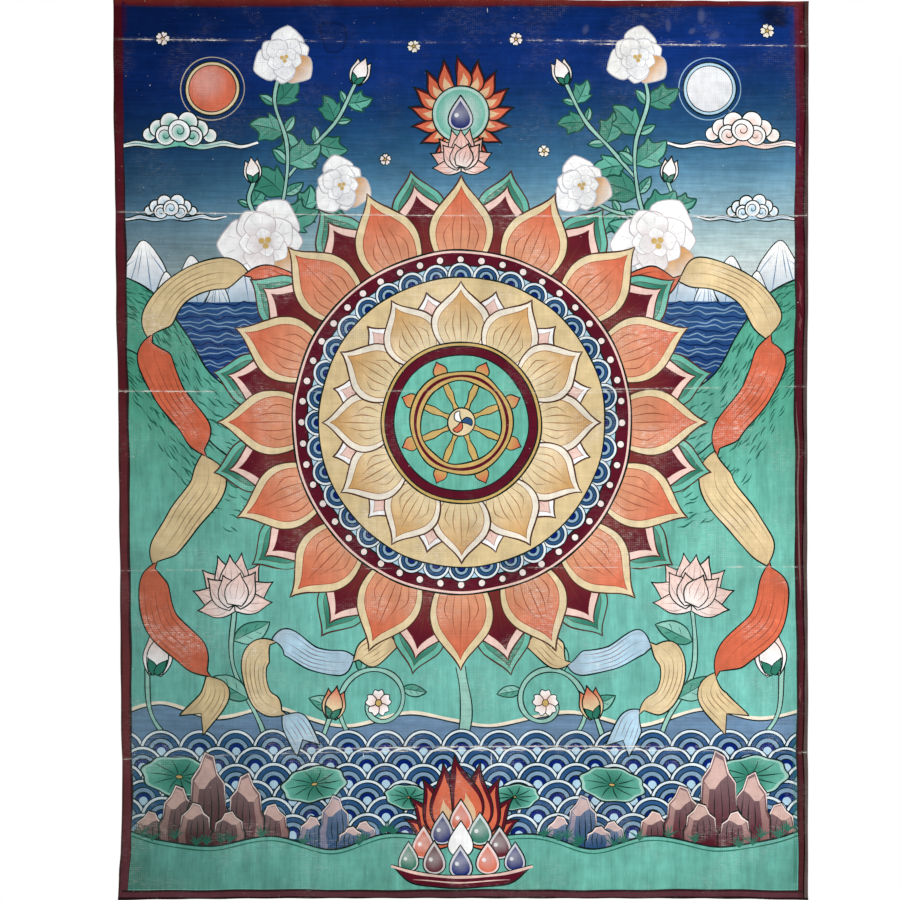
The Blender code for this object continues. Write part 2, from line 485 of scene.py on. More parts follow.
def paint_cloud(canvas, at, size, tint):
    """A bank of cloud: white-rimmed lobes tinted inside, some curled, over long drawn-out tails."""
    p = canvas.pigments
    for side in (-1, 1):
        spine = smooth([(-2 * side, 5), (24 * side, 11), (44 * side, 8), (60 * side, 12), (78 * side, 9)])
        belly = smooth([(79 * side, 11), (62 * side, 16), (42 * side, 14), (22 * side, 17), (-2 * side, 13)])
        tail = at + size * np.concatenate((spine, belly))
        canvas.fill(tail, fade(tint, p.white, at, at + 70 * side * size))
        canvas.line(at + size * spine, 1.0, taper=0.12)
        canvas.line(at + size * belly, 1.0, taper=0.12)
        inner = smooth([(10 * side, 9.5), (26 * side, 13.5), (44 * side, 11), (60 * side, 13.8)])
        canvas.line(at + size * inner, 0.7, mix(tint, p.steel, 0.5), taper=0.3)
    for lobe in CLOUD_LOBES:
        centre = at + size * complex(lobe.x, lobe.y)
        radius = size * lobe.radius
        canvas.shape(arc(centre, radius), p.white, width=1.1)
        shade = glow(tint, p.white, centre + 0.15j * radius, 0.1 * radius, 0.95 * radius)
        canvas.fill(arc(centre, radius * 0.80), shade)
        if lobe.curl:
            canvas.line(spiral(centre, radius * 0.78, 100, 1.35 * lobe.curl), 0.8, taper=0.25)


# Outline of a small notched petal one unit long, along +x.
NOTCHED_PETAL = ((0.12, -0.10), (0.55, -0.42), (0.94, -0.26), (0.84, 0.0), (0.94, 0.26), (0.55, 0.42),
                 (0.12, 0.10))


def paint_blossom(canvas, at, radius, tint, start):
    """A small open flower of five notched petals, with a dotted heart."""
    p = canvas.pigments
    for i in range(5):
        along = turn(start + 72 * i)
        place = at + radius * along * smooth(NOTCHED_PETAL, closed=True, step=0.28)
        canvas.shape(place, fade(tint, p.white, at, at + along * radius), width=0.8)
    canvas.shape(arc(at, 0.24 * radius, step=1.5), p.ochre, width=0.7)


# Outline of a broad petal one unit long, along +x.
ROSE_PETAL = ((0.0, -0.10), (0.34, -0.42), (0.64, -0.52), (0.86, -0.36), (1.04, -0.06), (1.0, 0.06),
              (0.82, 0.32), (0.64, 0.50), (0.34, 0.42), (0.0, 0.10))


def paint_rose(canvas, at, radius, tint, start):
    """A full white flower: three rings of broad petals, faintly lined in grey, round a few gold stamens."""
    p = canvas.pigments
    grey = mix(mix(p.steel, p.brown, 0.4), tint, 0.45)
    for count, reach, aside in ((6, 1.0, 0), (5, 0.68, 26), (4, 0.40, 50)):
        for i in range(count):
            along = turn(start + aside + 360 * i / count) * radius * reach * (1 + 0.12 * (-1) ** i)
            outline = at + along * smooth(ROSE_PETAL, closed=True, step=0.12)
            blush = mix(p.ochre, p.orange, 0.3) if (i, reach) == (2, 1.0) else mix(tint, p.steel, 0.16)
            pale_from = 1.3 if i == 2 else 0.75
            canvas.fill(outline, fade(blush, p.white, at + 0.35 * along, at + pale_from * along))
            canvas.line(outline, 0.5 + 0.4 * reach, mix(grey, tint, 0.6 * (1 - reach)), closed=True)
            for aim in (-0.16, 0.10):
                vein = smooth([(0.56, 0.6 * aim), (0.72, 1.2 * aim), (0.86, 1.5 * aim)], step=0.15)
                canvas.line(at + along * vein, 0.5, mix(grey, p.white, 0.35), taper=0.45)
    for angle in (200, 320, 80):
        canvas.fill(arc(at + 0.09 * radius * turn(angle), 0.075 * radius, step=0.8), p.ochre)


def paint_leaf(canvas, foot, along, length, width):
    """A pointed leaf, one half lighter than the other, with a rib and side veins."""
    p = canvas.pigments
    edge = smooth([(0, 0), (0.3, 0.42), (0.62, 0.44), (0.86, 0.2), (1.0, -0.06)], step=0.09)
    low = smooth([(1.0, -0.06), (0.72, -0.34), (0.4, -0.46), (0.14, -0.3), (0, 0)], step=0.09)
    rib = smooth([(0, 0), (0.4, -0.03), (0.75, -0.02), (1.0, -0.06)], step=0.12)

    def placed(run):
        return foot + along * (run.real * length + 1j * run.imag * width)

    outline = placed(np.concatenate((edge, low[1:-1])))
    canvas.fill(outline, mix(p.leaf, p.jade, 0.45))
    canvas.fill(placed(np.concatenate((edge, rib[-2:0:-1]))), mix(p.jade, p.white, 0.12))
    canvas.line(outline, 1.1, mix(p.ink, p.leaf, 0.25), closed=True)
    canvas.line(placed(rib), 0.8, mix(p.ink, p.leaf, 0.4), taper=0.3)
    for t in (0.30, 0.56) if length > 17 else ():
        for side in (-1, 1):
            end = (t + 0.16, 0.33 * side * (1.2 - t))
            vein = smooth([(t, -0.03 * t), (t + 0.1, 0.2 * side), end], step=0.15)
            canvas.line(placed(vein), 0.6, mix(p.ink, p.leaf, 0.5), taper=0.4)


def paint_stem(canvas, places, width=2.6):
    run = smooth(places)
    canvas.line(run, width + 1.8)
    canvas.line(run, width, mix(canvas.pigments.jade, canvas.pigments.white, 0.2))


# Outline of a three-lobed leaf one unit long, along +x.
LOBED_LEAF = ((0, 0), (0.10, 0.12), (0.24, 0.28), (0.42, 0.36), (0.60, 0.42), (0.55, 0.29), (0.72, 0.26),
              (0.88, 0.15), (1.0, -0.04), (0.84, -0.10), (0.68, -0.20), (0.66, -0.38), (0.48, -0.31),
              (0.26, -0.29), (0.09, -0.13))


def paint_lobed_leaf(canvas, foot, along, length, shade):
    """A leaf with three pointed lobes, its lower half darker, edged in soft dark green."""
    p = canvas.pigments
    outline = smooth(LOBED_LEAF, closed=True, step=0.07)
    rib = smooth([(0, 0), (0.4, 0.03), (0.8, 0.0), (1.0, -0.04)], step=0.15)
    edge = mix(p.ink, p.leaf, 0.35)
    light = mix(p.jade, p.leaf, shade)
    lower = outline[np.argmax(outline.real) :]
    canvas.fill(foot + along * length * outline, light)
    canvas.fill(foot + along * length * np.concatenate((rib, lower)), mix(light, p.leaf, 0.55))
    canvas.line(foot + along * length * outline, 1.3, edge, closed=True)
    canvas.line(foot + along * length * rib, 0.8, edge, taper=0.3)
    for places in (((0.30, 0.02), (0.42, 0.16), (0.52, 0.32)), ((0.34, 0.02), (0.48, -0.14), (0.58, -0.28))):
        canvas.line(foot + along * length * smooth(places, step=0.15), 0.6, edge, taper=0.4)


def paint_spray(canvas, places, size, shares):
    """A leafy stalk: lobed leaves by turns on its two sides, smaller towards its end, with leaflets at
    their feet."""
    run = smooth(places)
    for i, share in enumerate(shares):
        at = round(share * (len(run) - 1))
        along = run[at + 1] - run[at - 1]
        along /= abs(along)
        side = 1 if i % 2 else -1
        scale = size * (1 - 0.35 * share)
        paint_leaf(canvas, run[at], along * turn(-side * 48), 0.55 * scale, 0.28 * scale)
        paint_lobed_leaf(canvas, run[at], along * turn(side * (66 - 14 * share)), scale, 0.15 + 0.3 * (i % 3))
    paint_stem(canvas, places, 2.2)


def paint_lotus(canvas, at, size, up, heart, tip):
    """A lotus flower seen from the side, its back, side and front petals opening from one foot."""
    p = canvas.pigments
    rows = (
        ((-38, 1.00, 0.52), (38, 1.00, 0.52), (-14, 1.08, 0.50), (14, 1.08, 0.50)),
        ((-66, 0.94, 0.50), (66, 0.94, 0.50), (0, 1.04, 0.56)),
        ((-92, 0.80, 0.42), (92, 0.80, 0.42), (-40, 0.80, 0.52), (40, 0.80, 0.52)),
        ((-16, 0.66, 0.50), (17, 0.66, 0.50)),
    )
    for row in rows:
        for lean, length, width in row:
            along = up * turn(lean)
            foot = at + up * size * 0.05
            outline = foot + along * petal(length * size, width * size)
            canvas.shape(outline, fade(heart, tip, foot, foot + along * length * size), THIN_COAT, width=1.0)
            for spread in (-0.12, 0.0, 0.12):
                run = smooth([(0.16, spread * 0.6), (0.45, spread * 1.3), (0.78, spread * 0.7)], step=0.2)
                canvas.line(foot + along * size * (run.real * length + 1j * run.imag), 0.6,
                            mix(tip, p.maroon, 0.6), taper=0.4)


def paint_bud(canvas, at, size, up, heart, tip):
    """A closed lotus bud: two side petals behind a front one."""
    for lean, length, width in ((-16, 0.92, 0.5), (16, 0.92, 0.5), (0, 1.0, 0.52)):
        along = up * turn(lean)
        outline = at + along * petal(length * size, width * size)
        paint = fade(heart, tip, at + along * 0.2 * size, at + along * length * size)
        canvas.shape(outline, paint, width=1.0)
    for lean in (-34, 34):
        outline = at + up * turn(lean) * petal(0.42 * size, 0.2 * size)
        canvas.shape(outline, canvas.pigments.leaf, width=0.8)


def paint_pad(canvas, at, size, lean):
    """A round lotus leaf seen at a slant, with a scalloped rim and spreading veins."""
    p = canvas.pigments
    angles = np.radians(np.linspace(0, 360, 57)[:-1])
    wave = 1 + 0.045 * np.sin(8 * angles)
    rim = np.exp(1j * angles) * wave
    tilt = turn(lean)

    def placed(run, scale=1.0):
        return at + tilt * size * scale * (run.real + 0.52j * run.imag)

    canvas.shape(placed(rim), mix(p.jade, p.white, 0.25), width=1.2)
    canvas.fill(placed(rim, 0.88), glow(p.leaf, mix(p.leaf, p.jade, 0.85), at, 0, size * 0.9))
    for angle in range(0, 360, 36):
        run = points_of([0.10 * turn(angle), 0.45 * turn(angle + 5), 0.86 * turn(angle)])
        canvas.line(placed(smooth(run, step=0.3)), 0.8, taper=0.35)
    canvas.shape(placed(arc(0, 0.1, step=0.12)), p.ochre, width=0.7)


def drop(size):
    """Outline of a drop with its point up."""
    t = np.linspace(0, 2 * pi, 33)[:-1]
    return size * (1.15 * np.sin(t) * np.sin(t / 2) ** 1.3 - 1.2j * np.cos(t))


def paint_gem(canvas, at, size, colour):
    """A drop-shaped jewel with its point up, with a pale ring and a bright spot."""
    p = canvas.pigments
    canvas.shape(at + drop(size), mix(colour, p.white, 0.65), width=1.0)
    canvas.fill(at + 0.12j * size + drop(0.78 * size), glow(mix(colour, p.white, 0.35), colour, at, 0, size))
    canvas.fill(arc(at + size * (-0.26 + 0.16j), 0.15 * size, step=0.9), mix(colour, p.white, 0.8))


def paint_flames(canvas, at, size, count, spread, root):
    """Tongues of flame that sway outwards from round one place, the middle one tallest and in front."""
    p = canvas.pigments
    coats = ((1.0, p.maroon), (0.84, p.orange), (0.52, mix(p.orange, p.cream, 0.75)))
    for i in sorted(range(count), key=lambda i: -abs(i - (count - 1) / 2)):
        lean = spread * (2 * i / (count - 1) - 1)
        height = size * (1 - 0.30 * abs(lean) / spread)
        sway = 0.09 * (np.sign(lean) or 1)
        for scale, colour in coats:
            tongue = petal(height * scale, 0.42 * height * scale)
            t = tongue.real / height
            tongue = tongue + 1j * height * sway * np.sin(1.5 * pi * t)
            outline = at + turn(lean - 90) * (root + tongue)
            if scale == 1.0:
                canvas.shape(outline, colour, width=1.0)
            else:
                canvas.fill(outline, colour)


def paint_scarf(canvas, places, width, face, lining, twists):
    """A silk scarf along a curve, which lies flat for a stretch, turns over, and lies flat again."""
    p = canvas.pigments
    run = smooth(places, step=1.6)
    ahead = np.gradient(run.real) + 1j * np.gradient(run.imag)
    ahead = np.convolve(np.pad(ahead, 8, mode="edge"), np.ones(17) / 17, "valid")
    ahead /= abs(ahead)
    t = twists * np.linspace(0, 1, len(run))
    phase = pi * (np.floor(t) + ease((t % 1 - 0.5) / 0.50 + 0.5))
    sway = 1 + 0.10 * np.sin(5 * t)
    reach = 0.5 * width * sway * (1j * ahead * np.cos(phase) + 0.24 * ahead * np.sin(phase))
    first, second = run + reach, run - reach
    turned = np.cos(phase) < 0
    breaks = [0, *(np.flatnonzero(turned[1:] != turned[:-1]) + 1), len(run)]
    panels = [(max(a - 1, 0), b) for a, b in zip(breaks, breaks[1:]) if b - a > 3]
    for a, b in sorted(panels, key=lambda ends: not turned[ends[1] - 1]):
        colour = lining if turned[b - 1] else face
        shade = mix(colour, p.brown, 0.30)
        one, two = first[a:b], second[a:b]
        middle = run[(a + b) // 2]
        away = abs(run[a] - middle)
        notch = [run[-1] - 0.5 * width * ahead[-1]] if b == len(run) else []
        outline = np.concatenate((one, notch, two[::-1]))
        canvas.shape(outline, glow(colour, shade, middle, 0.35 * away, 1.25 * away), THIN_COAT, width=1.1)
        for share, trim in ((0.15, 0.10), (0.32, 0.24), (0.50, 0.06), (0.66, 0.30), (0.85, 0.14)):
            fold = mix(one, two, share + 0.03 * np.sin(np.linspace(0, 2 * pi, len(one))))
            skip = max(2, round(len(fold) * trim))
            if len(fold) > 2 * skip + 4:
                canvas.line(fold[skip:-skip], 0.7, mix(colour, p.brown, 0.7), taper=0.4)


def paint_waves(canvas, rows, columns, left, top, pitch, lift):
    """Rows of wave crests, each a fan of arcs that the row in front laps over."""
    p = canvas.pigments
    rings = ((1.0, mix(p.pale_blue, p.white, 0.5)), (0.84, p.steel), (0.62, mix(p.steel, p.pale_blue, 0.45)),
             (0.40, p.deep_blue), (0.2, p.pale_blue))
    for row in range(rows):
        for column in range(columns + row % 2):
            centre = complex(left + pitch * (column - 0.5 * (row % 2)), top + lift * row)
            for share, colour in rings:
                radius = 0.56 * pitch * share
                rise = arc(centre, radius, 180, 360, step=2.6)
                outline = np.concatenate(([centre - radius + 3j], rise, [centre + radius + 3j]))
                canvas.fill(outline, colour)
                if share > 0.3:
                    canvas.line(rise, 0.9)


# --------------------------------------------------------------------------------------------- the picture

# Colours by height, from the top edge down.
SKY = ((0, "#0a2560"), (12, "#082560"), (23, "#092866"), (43, "#0d2d72"), (62, "#102f6f"), (86, "#163a69"),
       (109, "#254f77"), (129, "#396687"), (144, "#4e7d9b"), (156, "#6995ad"), (187, "#92b1bb"),
       (203, "#a8c0c5"), (218, "#bccccf"), (236, "#cbd9dc"))
GROUND = ((236, "#87c1ba"), (290, "#75b9b0"), (380, "#6eb4aa"), (560, "#6ab1a7"), (702, "#62a89c"))
HILLS = ((214, "#43907a"), (270, "#519c88"), (320, "#5fa798"), (380, "#6ab1a5"), (450, "#6cb2a9"),
         (560, "#6ab1a7"))
BEYOND = 285  # grounds reach this far from the middle line, past both side edges
UNDER = 712  # and this far down, past the bottom edge
HORIZON = 236
HEART = 330j  # middle of the great lotus


def paint_sky(canvas):
    """Deep blue overhead, let down with chalk towards the horizon, with painted shade over its left side."""
    p = canvas.pigments
    canvas.fill(box(-BEYOND, -6, BEYOND, 240), bands(SKY, 0.055), WASH_ACROSS)
    # Painted shade: a dark blue glaze over the left of the sky, strongest at the left border and fading out
    # towards the middle, standing in for weaker light on that side.
    left_sky_shade = linear("#020c2c")
    canvas.fill(box(-BEYOND, -6, -60, 240), fade(left_sky_shade, left_sky_shade, -262, -66, (0.46, 0.0)), glaze=True)
    for side, colour, edge in ((-1, p.orange, p.cream), (1, mix(p.white, p.steel, 0.22), p.pale_blue)):
        at = 194 * side + 70j
        canvas.shape(arc(at, 21), edge, width=1.3)
        canvas.fill(arc(at, 18.2), glow(mix(colour, p.white, 0.25), colour, at - 4 - 5j, 2, 20), THIN_COAT)
        canvas.line(arc(at, 18.2), 0.8, closed=True)
        canvas.line(arc(at, 24.5), 0.8, mix(edge, p.steel, 0.35), closed=True)
    for x, y, radius, start in ((-236, 28, 6, 20), (-40, 34, 5.5, 30), (-62, 122, 5, 0)):
        for side in (-1, 1):
            tint = p.pink if (x + side) % 3 else p.cream
            paint_blossom(canvas, complex(side * x + 3, y + 3 * side), radius, tint, start * side - 90)


def paint_far_country(canvas):
    """Still water and snow peaks at the horizon, then grassy hills that fall away from the border."""
    p = canvas.pigments
    clefts = ((-0.55, 9, 34), (-0.2, 4, 46), (0.12, 6, 30), (0.34, 5, 44), (0.6, 14, 36))
    for x, y, half in ((250, 188, 40), (212, 200, 34), (174, 194, 36), (232, 212, 26), (192, 216, 24)):
        for side in (-1, 1):
            rise = [(x - half, 250), (x - 0.62 * half, y + 38), (x - 0.34 * half, y + 14), (x, y),
                    (x + 0.30 * half, y + 16), (x + 0.64 * half, y + 34), (x + half, 250)]
            outline = mirrored(smooth(rise, step=3), side)
            snow = fade(p.white, mix(p.steel, p.pale_blue, 0.6), complex(0, y), complex(0, 250))
            canvas.shape(outline, snow, width=0.9)
            for lean, start, stop in clefts:
                cleft = [(x + 0.2 * lean * half, y + start), (x + 0.6 * lean * half, y + 0.6 * stop),
                         (x + lean * half, y + stop)]
                canvas.line(mirrored(smooth(cleft), side), 0.8, mix(p.steel, p.pale_blue, 0.3), taper=0.4)
    depths = fade(mix(p.steel, p.deep_blue, 0.15), mix(p.steel, p.deep_blue, 0.5), HORIZON * 1j, 300j)
    canvas.fill(box(-BEYOND, HORIZON, BEYOND, 300), depths, WASH_ACROSS)
    for row in range(15):
        for side in (-1, 1):
            height = HORIZON + 1.5 + 3.5 * row
            places = [(150 + 7 * i, height + 0.9 * (-1) ** i + np.sin(1.7 * i + 1.3 * row))
                      for i in range(18)]
            line = mix(p.steel, p.pale_blue, 0.42) if row % 3 else mix(p.deep_blue, p.ink, 0.5)
            canvas.line(mirrored(smooth(places, step=3), side), 0.9, line, taper=0.1)
    canvas.fill(box(-BEYOND, 296, BEYOND, UNDER), bands(GROUND), WASH_DOWN)
    ridges = (
        ((BEYOND, 214), (262, 218), (238, 232), (216, 262), (198, 292), (170, 312), (140, 330)),
        ((BEYOND, 268), (256, 276), (236, 296), (214, 326), (190, 352), (160, 368), (140, 376)),
    )
    strokes = np.random.default_rng(7)
    for places, shades in zip(ridges, (HILLS, [(height + 52, code) for height, code in HILLS])):
        crest = smooth(places, step=3)
        for side in (-1, 1):
            outline = np.concatenate((crest, points_of([(140, 450), (140, 556), (BEYOND, 556)])))
            canvas.fill(mirrored(outline, side), bands(shades), WASH_DOWN)
            canvas.line(mirrored(crest, side), 1.4, taper=0.05)
            for row in range(13):
                at = strokes.integers(0, 5)
                while at < len(crest) - 7:
                    length = strokes.integers(3, 7)
                    fall = (4.0 + 4.6 * row + strokes.uniform(-1.4, 1.4)) * (0.35 + 0.65 * at / len(crest))
                    run = crest[at : at + length] + fall * turn(62)
                    run = run + 0.9 * np.sin(np.arange(length) * 1.5 + row) * 1j
                    canvas.line(mirrored(run, side), 1.3, mix(p.leaf, p.ink, 0.35), taper=0.45)
                    at += length + strokes.integers(1, 5)


def paint_great_lotus(canvas):
    """A wheel of petals round an eight-spoked wheel, with bands of pearls and curled waves between."""
    p = canvas.pigments
    petal_ring(canvas, HEART, 16, 11.25, 150, 50, 42, p.jade, mix(p.leaf, p.jade, 0.7), p.leaf, 1)
    petal_ring(canvas, HEART, 16, 11.25, 122, 66, 58, p.pink, mix(p.maroon, p.orange, 0.15), p.maroon, 1)
    petal_ring(canvas, HEART, 16, 0, 122, 71, 51, p.cream, mix(p.orange, p.cream, 0.35), p.orange, 2)
    canvas.shape(arc(HEART, 134), p.pink, width=1.4)
    canvas.fill(arc(HEART, 131.6), p.maroon, DENSE_COAT)
    for i in range(48):
        canvas.shape(arc(HEART + 126.6 * turn(7.5 * i), 2.9, step=1.6), mix(p.pink, p.white, 0.5), width=0.8)
    canvas.shape(arc(HEART, 122), p.pale_blue, width=1.2)
    for i in range(36):
        at = HEART + 113.6 * turn(10 * i)
        for radius, colour in ((10.6, mix(p.pale_blue, p.white, 0.6)), (8.2, p.steel),
                               (5.6, mix(p.steel, p.pale_blue, 0.6)), (3.0, p.deep_blue)):
            canvas.shape(arc(at, radius, step=2.0), colour, width=0.8)
    canvas.shape(arc(HEART, 113), mix(p.cream, p.ochre, 0.3), THIN_COAT, width=1.2)
    ivory, gold = mix(p.cream, p.white, 0.5), mix(p.ochre, p.orange, 0.25)
    petal_ring(canvas, HEART, 12, 15, 58, 47, 42, p.white, mix(p.pink, p.orange, 0.25), p.pink, 1)
    petal_ring(canvas, HEART, 12, 0, 57, 53, 46, ivory, p.cream, gold, 2)
    canvas.shape(arc(HEART, 63), p.ochre, width=1.2)
    canvas.shape(arc(HEART, 60), p.maroon, DENSE_COAT, width=1.0)
    canvas.shape(arc(HEART, 53), p.jade, WASH_DOWN, width=1.0)
    for i in range(8):
        along = turn(45 * i + 22.5)
        fin = HEART + along * (38 + petal(13, 11))
        canvas.shape(fin, fade(p.ochre, p.orange, HEART + 38 * along, HEART + 52 * along), width=0.9)
        spoke = [(8, -2.6), (16, -1.5), (24, -3.0), (33, -2.2), (33, 2.2), (24, 3.0), (16, 1.5), (8, 2.6)]
        canvas.shape(HEART + along * points_of(spoke), p.ochre, width=0.9)
    ring = arc(HEART, 36.5)
    canvas.line(ring, 9.4, closed=True)
    canvas.line(ring, 7.2, p.ochre, closed=True)
    canvas.line(ring, 2.2, p.maroon, closed=True)
    canvas.shape(arc(HEART, 11), p.cream, width=1.1)
    for i, colour in enumerate((p.steel, p.orange, p.white)):
        blade = smooth([(0, 0), (4.2, -3.6), (8.6, -1.2), (8.2, 3.0), (5.0, 1.4)], closed=True, step=1.5)
        canvas.shape(HEART + turn(120 * i) * blade, colour, width=0.8)


# Stalks of the flowering spray on the right, from their feet up.
TALL_STALK = ((140, 222), (146, 184), (138, 150), (136, 112), (146, 78), (138, 48))
INNER_STALK = ((137, 140), (118, 118), (98, 96), (82, 66))
OUTER_STALK = ((145, 186), (160, 170), (166, 156), (162, 142))
LOW_STALK = ((142, 168), (122, 166), (104, 158), (94, 146))


def paint_crown(canvas):
    """A flaming jewel on a lotus above the wheel, flowering sprays beside it, and banks of cloud."""
    p = canvas.pigments
    for side in (-1, 1):
        paint_cloud(canvas, 220 * side + 104j, 0.78, p.jade if side < 0 else p.pink)
        paint_cloud(canvas, 228 * side + 164j, 0.56, p.pale_blue)
        tall, inner, outer, low = ([complex(side * x, y) for x, y in places]
                                   for places in (TALL_STALK, INNER_STALK, OUTER_STALK, LOW_STALK))
        paint_spray(canvas, low, 25, (0.3, 0.6))
        paint_spray(canvas, inner, 29, (0.16, 0.40, 0.62, 0.82))
        paint_spray(canvas, outer, 25, (0.25, 0.62))
        paint_spray(canvas, tall, 37, (0.16, 0.28, 0.40, 0.53, 0.66, 0.80))
        paint_bud(canvas, inner[-1], 22, turn(-90 - 22 * side), p.white, mix(p.pink, p.white, 0.4))
        paint_bud(canvas, outer[-1], 20, turn(-90 + 8 * side), p.white, mix(p.pink, p.white, 0.4))
        paint_rose(canvas, tall[-1] - 2j, 22, p.white, -80)
        paint_rose(canvas, complex(side * 154, 190), 32, mix(p.white, p.pink, 0.3), -60)
        paint_rose(canvas, low[-1], 21, p.white, -100)
    paint_flames(canvas, 90j, 30, 15, 150, 17)
    canvas.shape(arc(90j, 22), mix(p.jade, p.white, 0.35), width=1.2)
    canvas.fill(arc(90j, 19), glow(mix(p.jade, p.white, 0.5), p.jade, 90j, 6, 20))
    paint_gem(canvas, 89j, 11.5, p.deep_blue)
    paint_lotus(canvas, 132j, 28, turn(-90), mix(p.pink, p.white, 0.5), mix(p.pink, p.orange, 0.35))


# The way that each scarf on the right falls.
SCARF_PLACES = ((122, 232), (156, 220), (192, 214), (226, 230), (243, 266), (232, 306), (208, 338),
                (200, 376), (222, 408), (243, 442), (240, 484), (212, 512), (196, 540), (216, 566))
INNER_SCARF_PLACES = ((56, 496), (84, 516), (116, 514), (144, 500), (164, 514), (160, 544), (136, 560),
                      (122, 586))


def paint_scarves(canvas):
    """Silk scarves that fall in turns from behind the wheel, orange lined in buff and buff lined in blue."""
    p = canvas.pigments
    for side in (-1, 1):
        places = [complex(side * x, y) for x, y in SCARF_PLACES]
        paint_scarf(canvas, places, 25, p.orange, mix(p.cream, p.ochre, 0.25), 5.0)
        places = [complex(side * x, y) for x, y in INNER_SCARF_PLACES]
        paint_scarf(canvas, places, 20, mix(p.cream, p.ochre, 0.15), p.pale_blue, 3.0)


def paint_pond(canvas):
    """A pond of curled waves that the great lotus grows out of, with plants at both sides."""
    p = canvas.pigments
    shore = smooth([(-BEYOND, 560), (-240, 548), (-196, 560), (-150, 552), (-96, 566), (-40, 556), (20, 566),
                    (84, 555), (140, 566), (190, 553), (236, 560), (BEYOND, 548)], step=4)
    outline = np.concatenate((shore, points_of([(BEYOND, 660), (-BEYOND, 660)])))
    canvas.fill(outline, fade(mix(p.steel, p.pale_blue, 0.3), p.deep_blue, 560j, 640j), WASH_ACROSS)
    canvas.line(shore, 2.6, mix(p.cream, p.white, 0.4))
    canvas.line(shore + 1.8j, 1.0)


# Stalks that stand in the waves on the right, from their feet up.
STANDING_STALKS = (
    ((150, 612), (158, 570), (182, 520), (180, 470)),
    ((196, 612), (222, 588), (246, 560), (251, 520)),
    ((132, 612), (116, 588), (104, 556)),
)


def paint_plants(canvas):
    """The great lotus's stem with its curled side shoots, and lotus plants that stand in the waves."""
    p = canvas.pigments
    for side in (-1, 1):
        foot = smooth([complex(side * 2, 612), complex(side * 16, 590), complex(side * 40, 578)])
        curl = mirrored(spiral(66 + 548j, 40, 138, -1.5), side)
        shoot = np.concatenate((foot[:-2], curl))[::3]
        for share, lean, length in ((0.34, 62, 26), (0.46, 58, 24), (0.60, 62, 20)):
            at = round(share * (len(shoot) - 1))
            along = shoot[at + 1] - shoot[at - 1]
            paint_leaf(canvas, shoot[at], along / abs(along) * turn(side * lean), length, 0.5 * length)
        paint_stem(canvas, list(shoot), 2.8)
        paint_blossom(canvas, complex(side * 66, 548), 11, p.pink, -90)
        for places in STANDING_STALKS:
            paint_stem(canvas, [complex(side * x, y) for x, y in places])
        paint_leaf(canvas, complex(side * 170, 545), turn(-90 + 60 * side), 34, 18)
        paint_leaf(canvas, complex(side * 181, 500), turn(-90 - 64 * side), 32, 17)
        blush = mix(p.pink, p.white, 0.6)
        paint_lotus(canvas, complex(side * 180, 474), 38, turn(-90 + 6 * side), blush, p.pink)
        paint_bud(canvas, complex(side * 244, 526), 34, turn(-90 - 8 * side), p.white, p.pink)
        paint_bud(canvas, complex(side * 104, 560), 26, turn(-90 - 12 * side), p.cream, p.orange)
    paint_stem(canvas, [(0, 640), (-5, 600), (4, 560), (0, 520)], 7.0)


def paint_floating(canvas):
    """Waves before the plants' feet, with round leaves that float on them."""
    paint_waves(canvas, 6, 19, -270, 586, 30, 13)
    for side in (-1, 1):
        paint_pad(canvas, complex(side * 226, 606), 30, -6 * side)
        paint_pad(canvas, complex(side * 118, 612), 26, 8 * side)
        paint_pad(canvas, complex(side * 42, 622), 19, -5 * side)


# A crag's outline and its lit planes, in half widths across and heights down.
CRAG = ((-1.0, 0.06), (-1.04, -0.38), (-0.86, -0.50), (-0.80, -0.72), (-0.44, -0.84), (-0.20, -1.0),
        (0.20, -0.95), (0.40, -0.78), (0.74, -0.68), (0.80, -0.44), (1.02, -0.34), (1.0, 0.06))
CRAG_SIDE = ((-0.92, 0.06), (-0.95, -0.35), (-0.77, -0.46), (-0.71, -0.66), (-0.46, -0.60), (-0.58, -0.30),
             (-0.44, 0.06))
CRAG_TOP = ((-0.71, -0.68), (-0.42, -0.78), (-0.19, -0.93), (0.16, -0.89), (0.34, -0.74), (0.04, -0.68),
            (-0.20, -0.60), (-0.46, -0.60))
CRAG_CLEFTS = (((0.04, -0.66), (0.14, -0.40), (0.06, 0.02)), ((0.36, -0.72), (0.48, -0.44), (0.42, -0.12)),
               ((-0.20, -0.58), (-0.24, -0.34), (-0.14, -0.16)))


def paint_rock(canvas, at, crags, tint):
    """A rock of upright crags with a pale top and side, a pink edge and dark clefts."""
    p = canvas.pigments
    for x, height, width in crags:
        flip = 1 if x < 6 else -1

        def placed(rows):
            return points_of([at + complex(x + flip * across * width / 2, down * height)
                              for across, down in rows])

        top, foot = at + x - 1j * height, at + x
        stone = fade(mix(tint, p.white, 0.15), mix(tint, p.ink, 0.20), top, foot)
        canvas.shape(placed(CRAG), stone, width=1.1)
        canvas.fill(placed(CRAG_SIDE), fade(mix(tint, p.pink, 0.55), mix(tint, p.pink, 0.15), top, foot))
        canvas.fill(placed(CRAG_TOP), mix(tint, p.pink, 0.70))
        canvas.line(placed(CRAG[2:-2]) + 1.2j, 1.0, mix(p.pink, p.white, 0.3), taper=0.2)
        for cleft in CRAG_CLEFTS:
            canvas.line(smooth(placed(cleft), step=3), 0.8, taper=0.4)


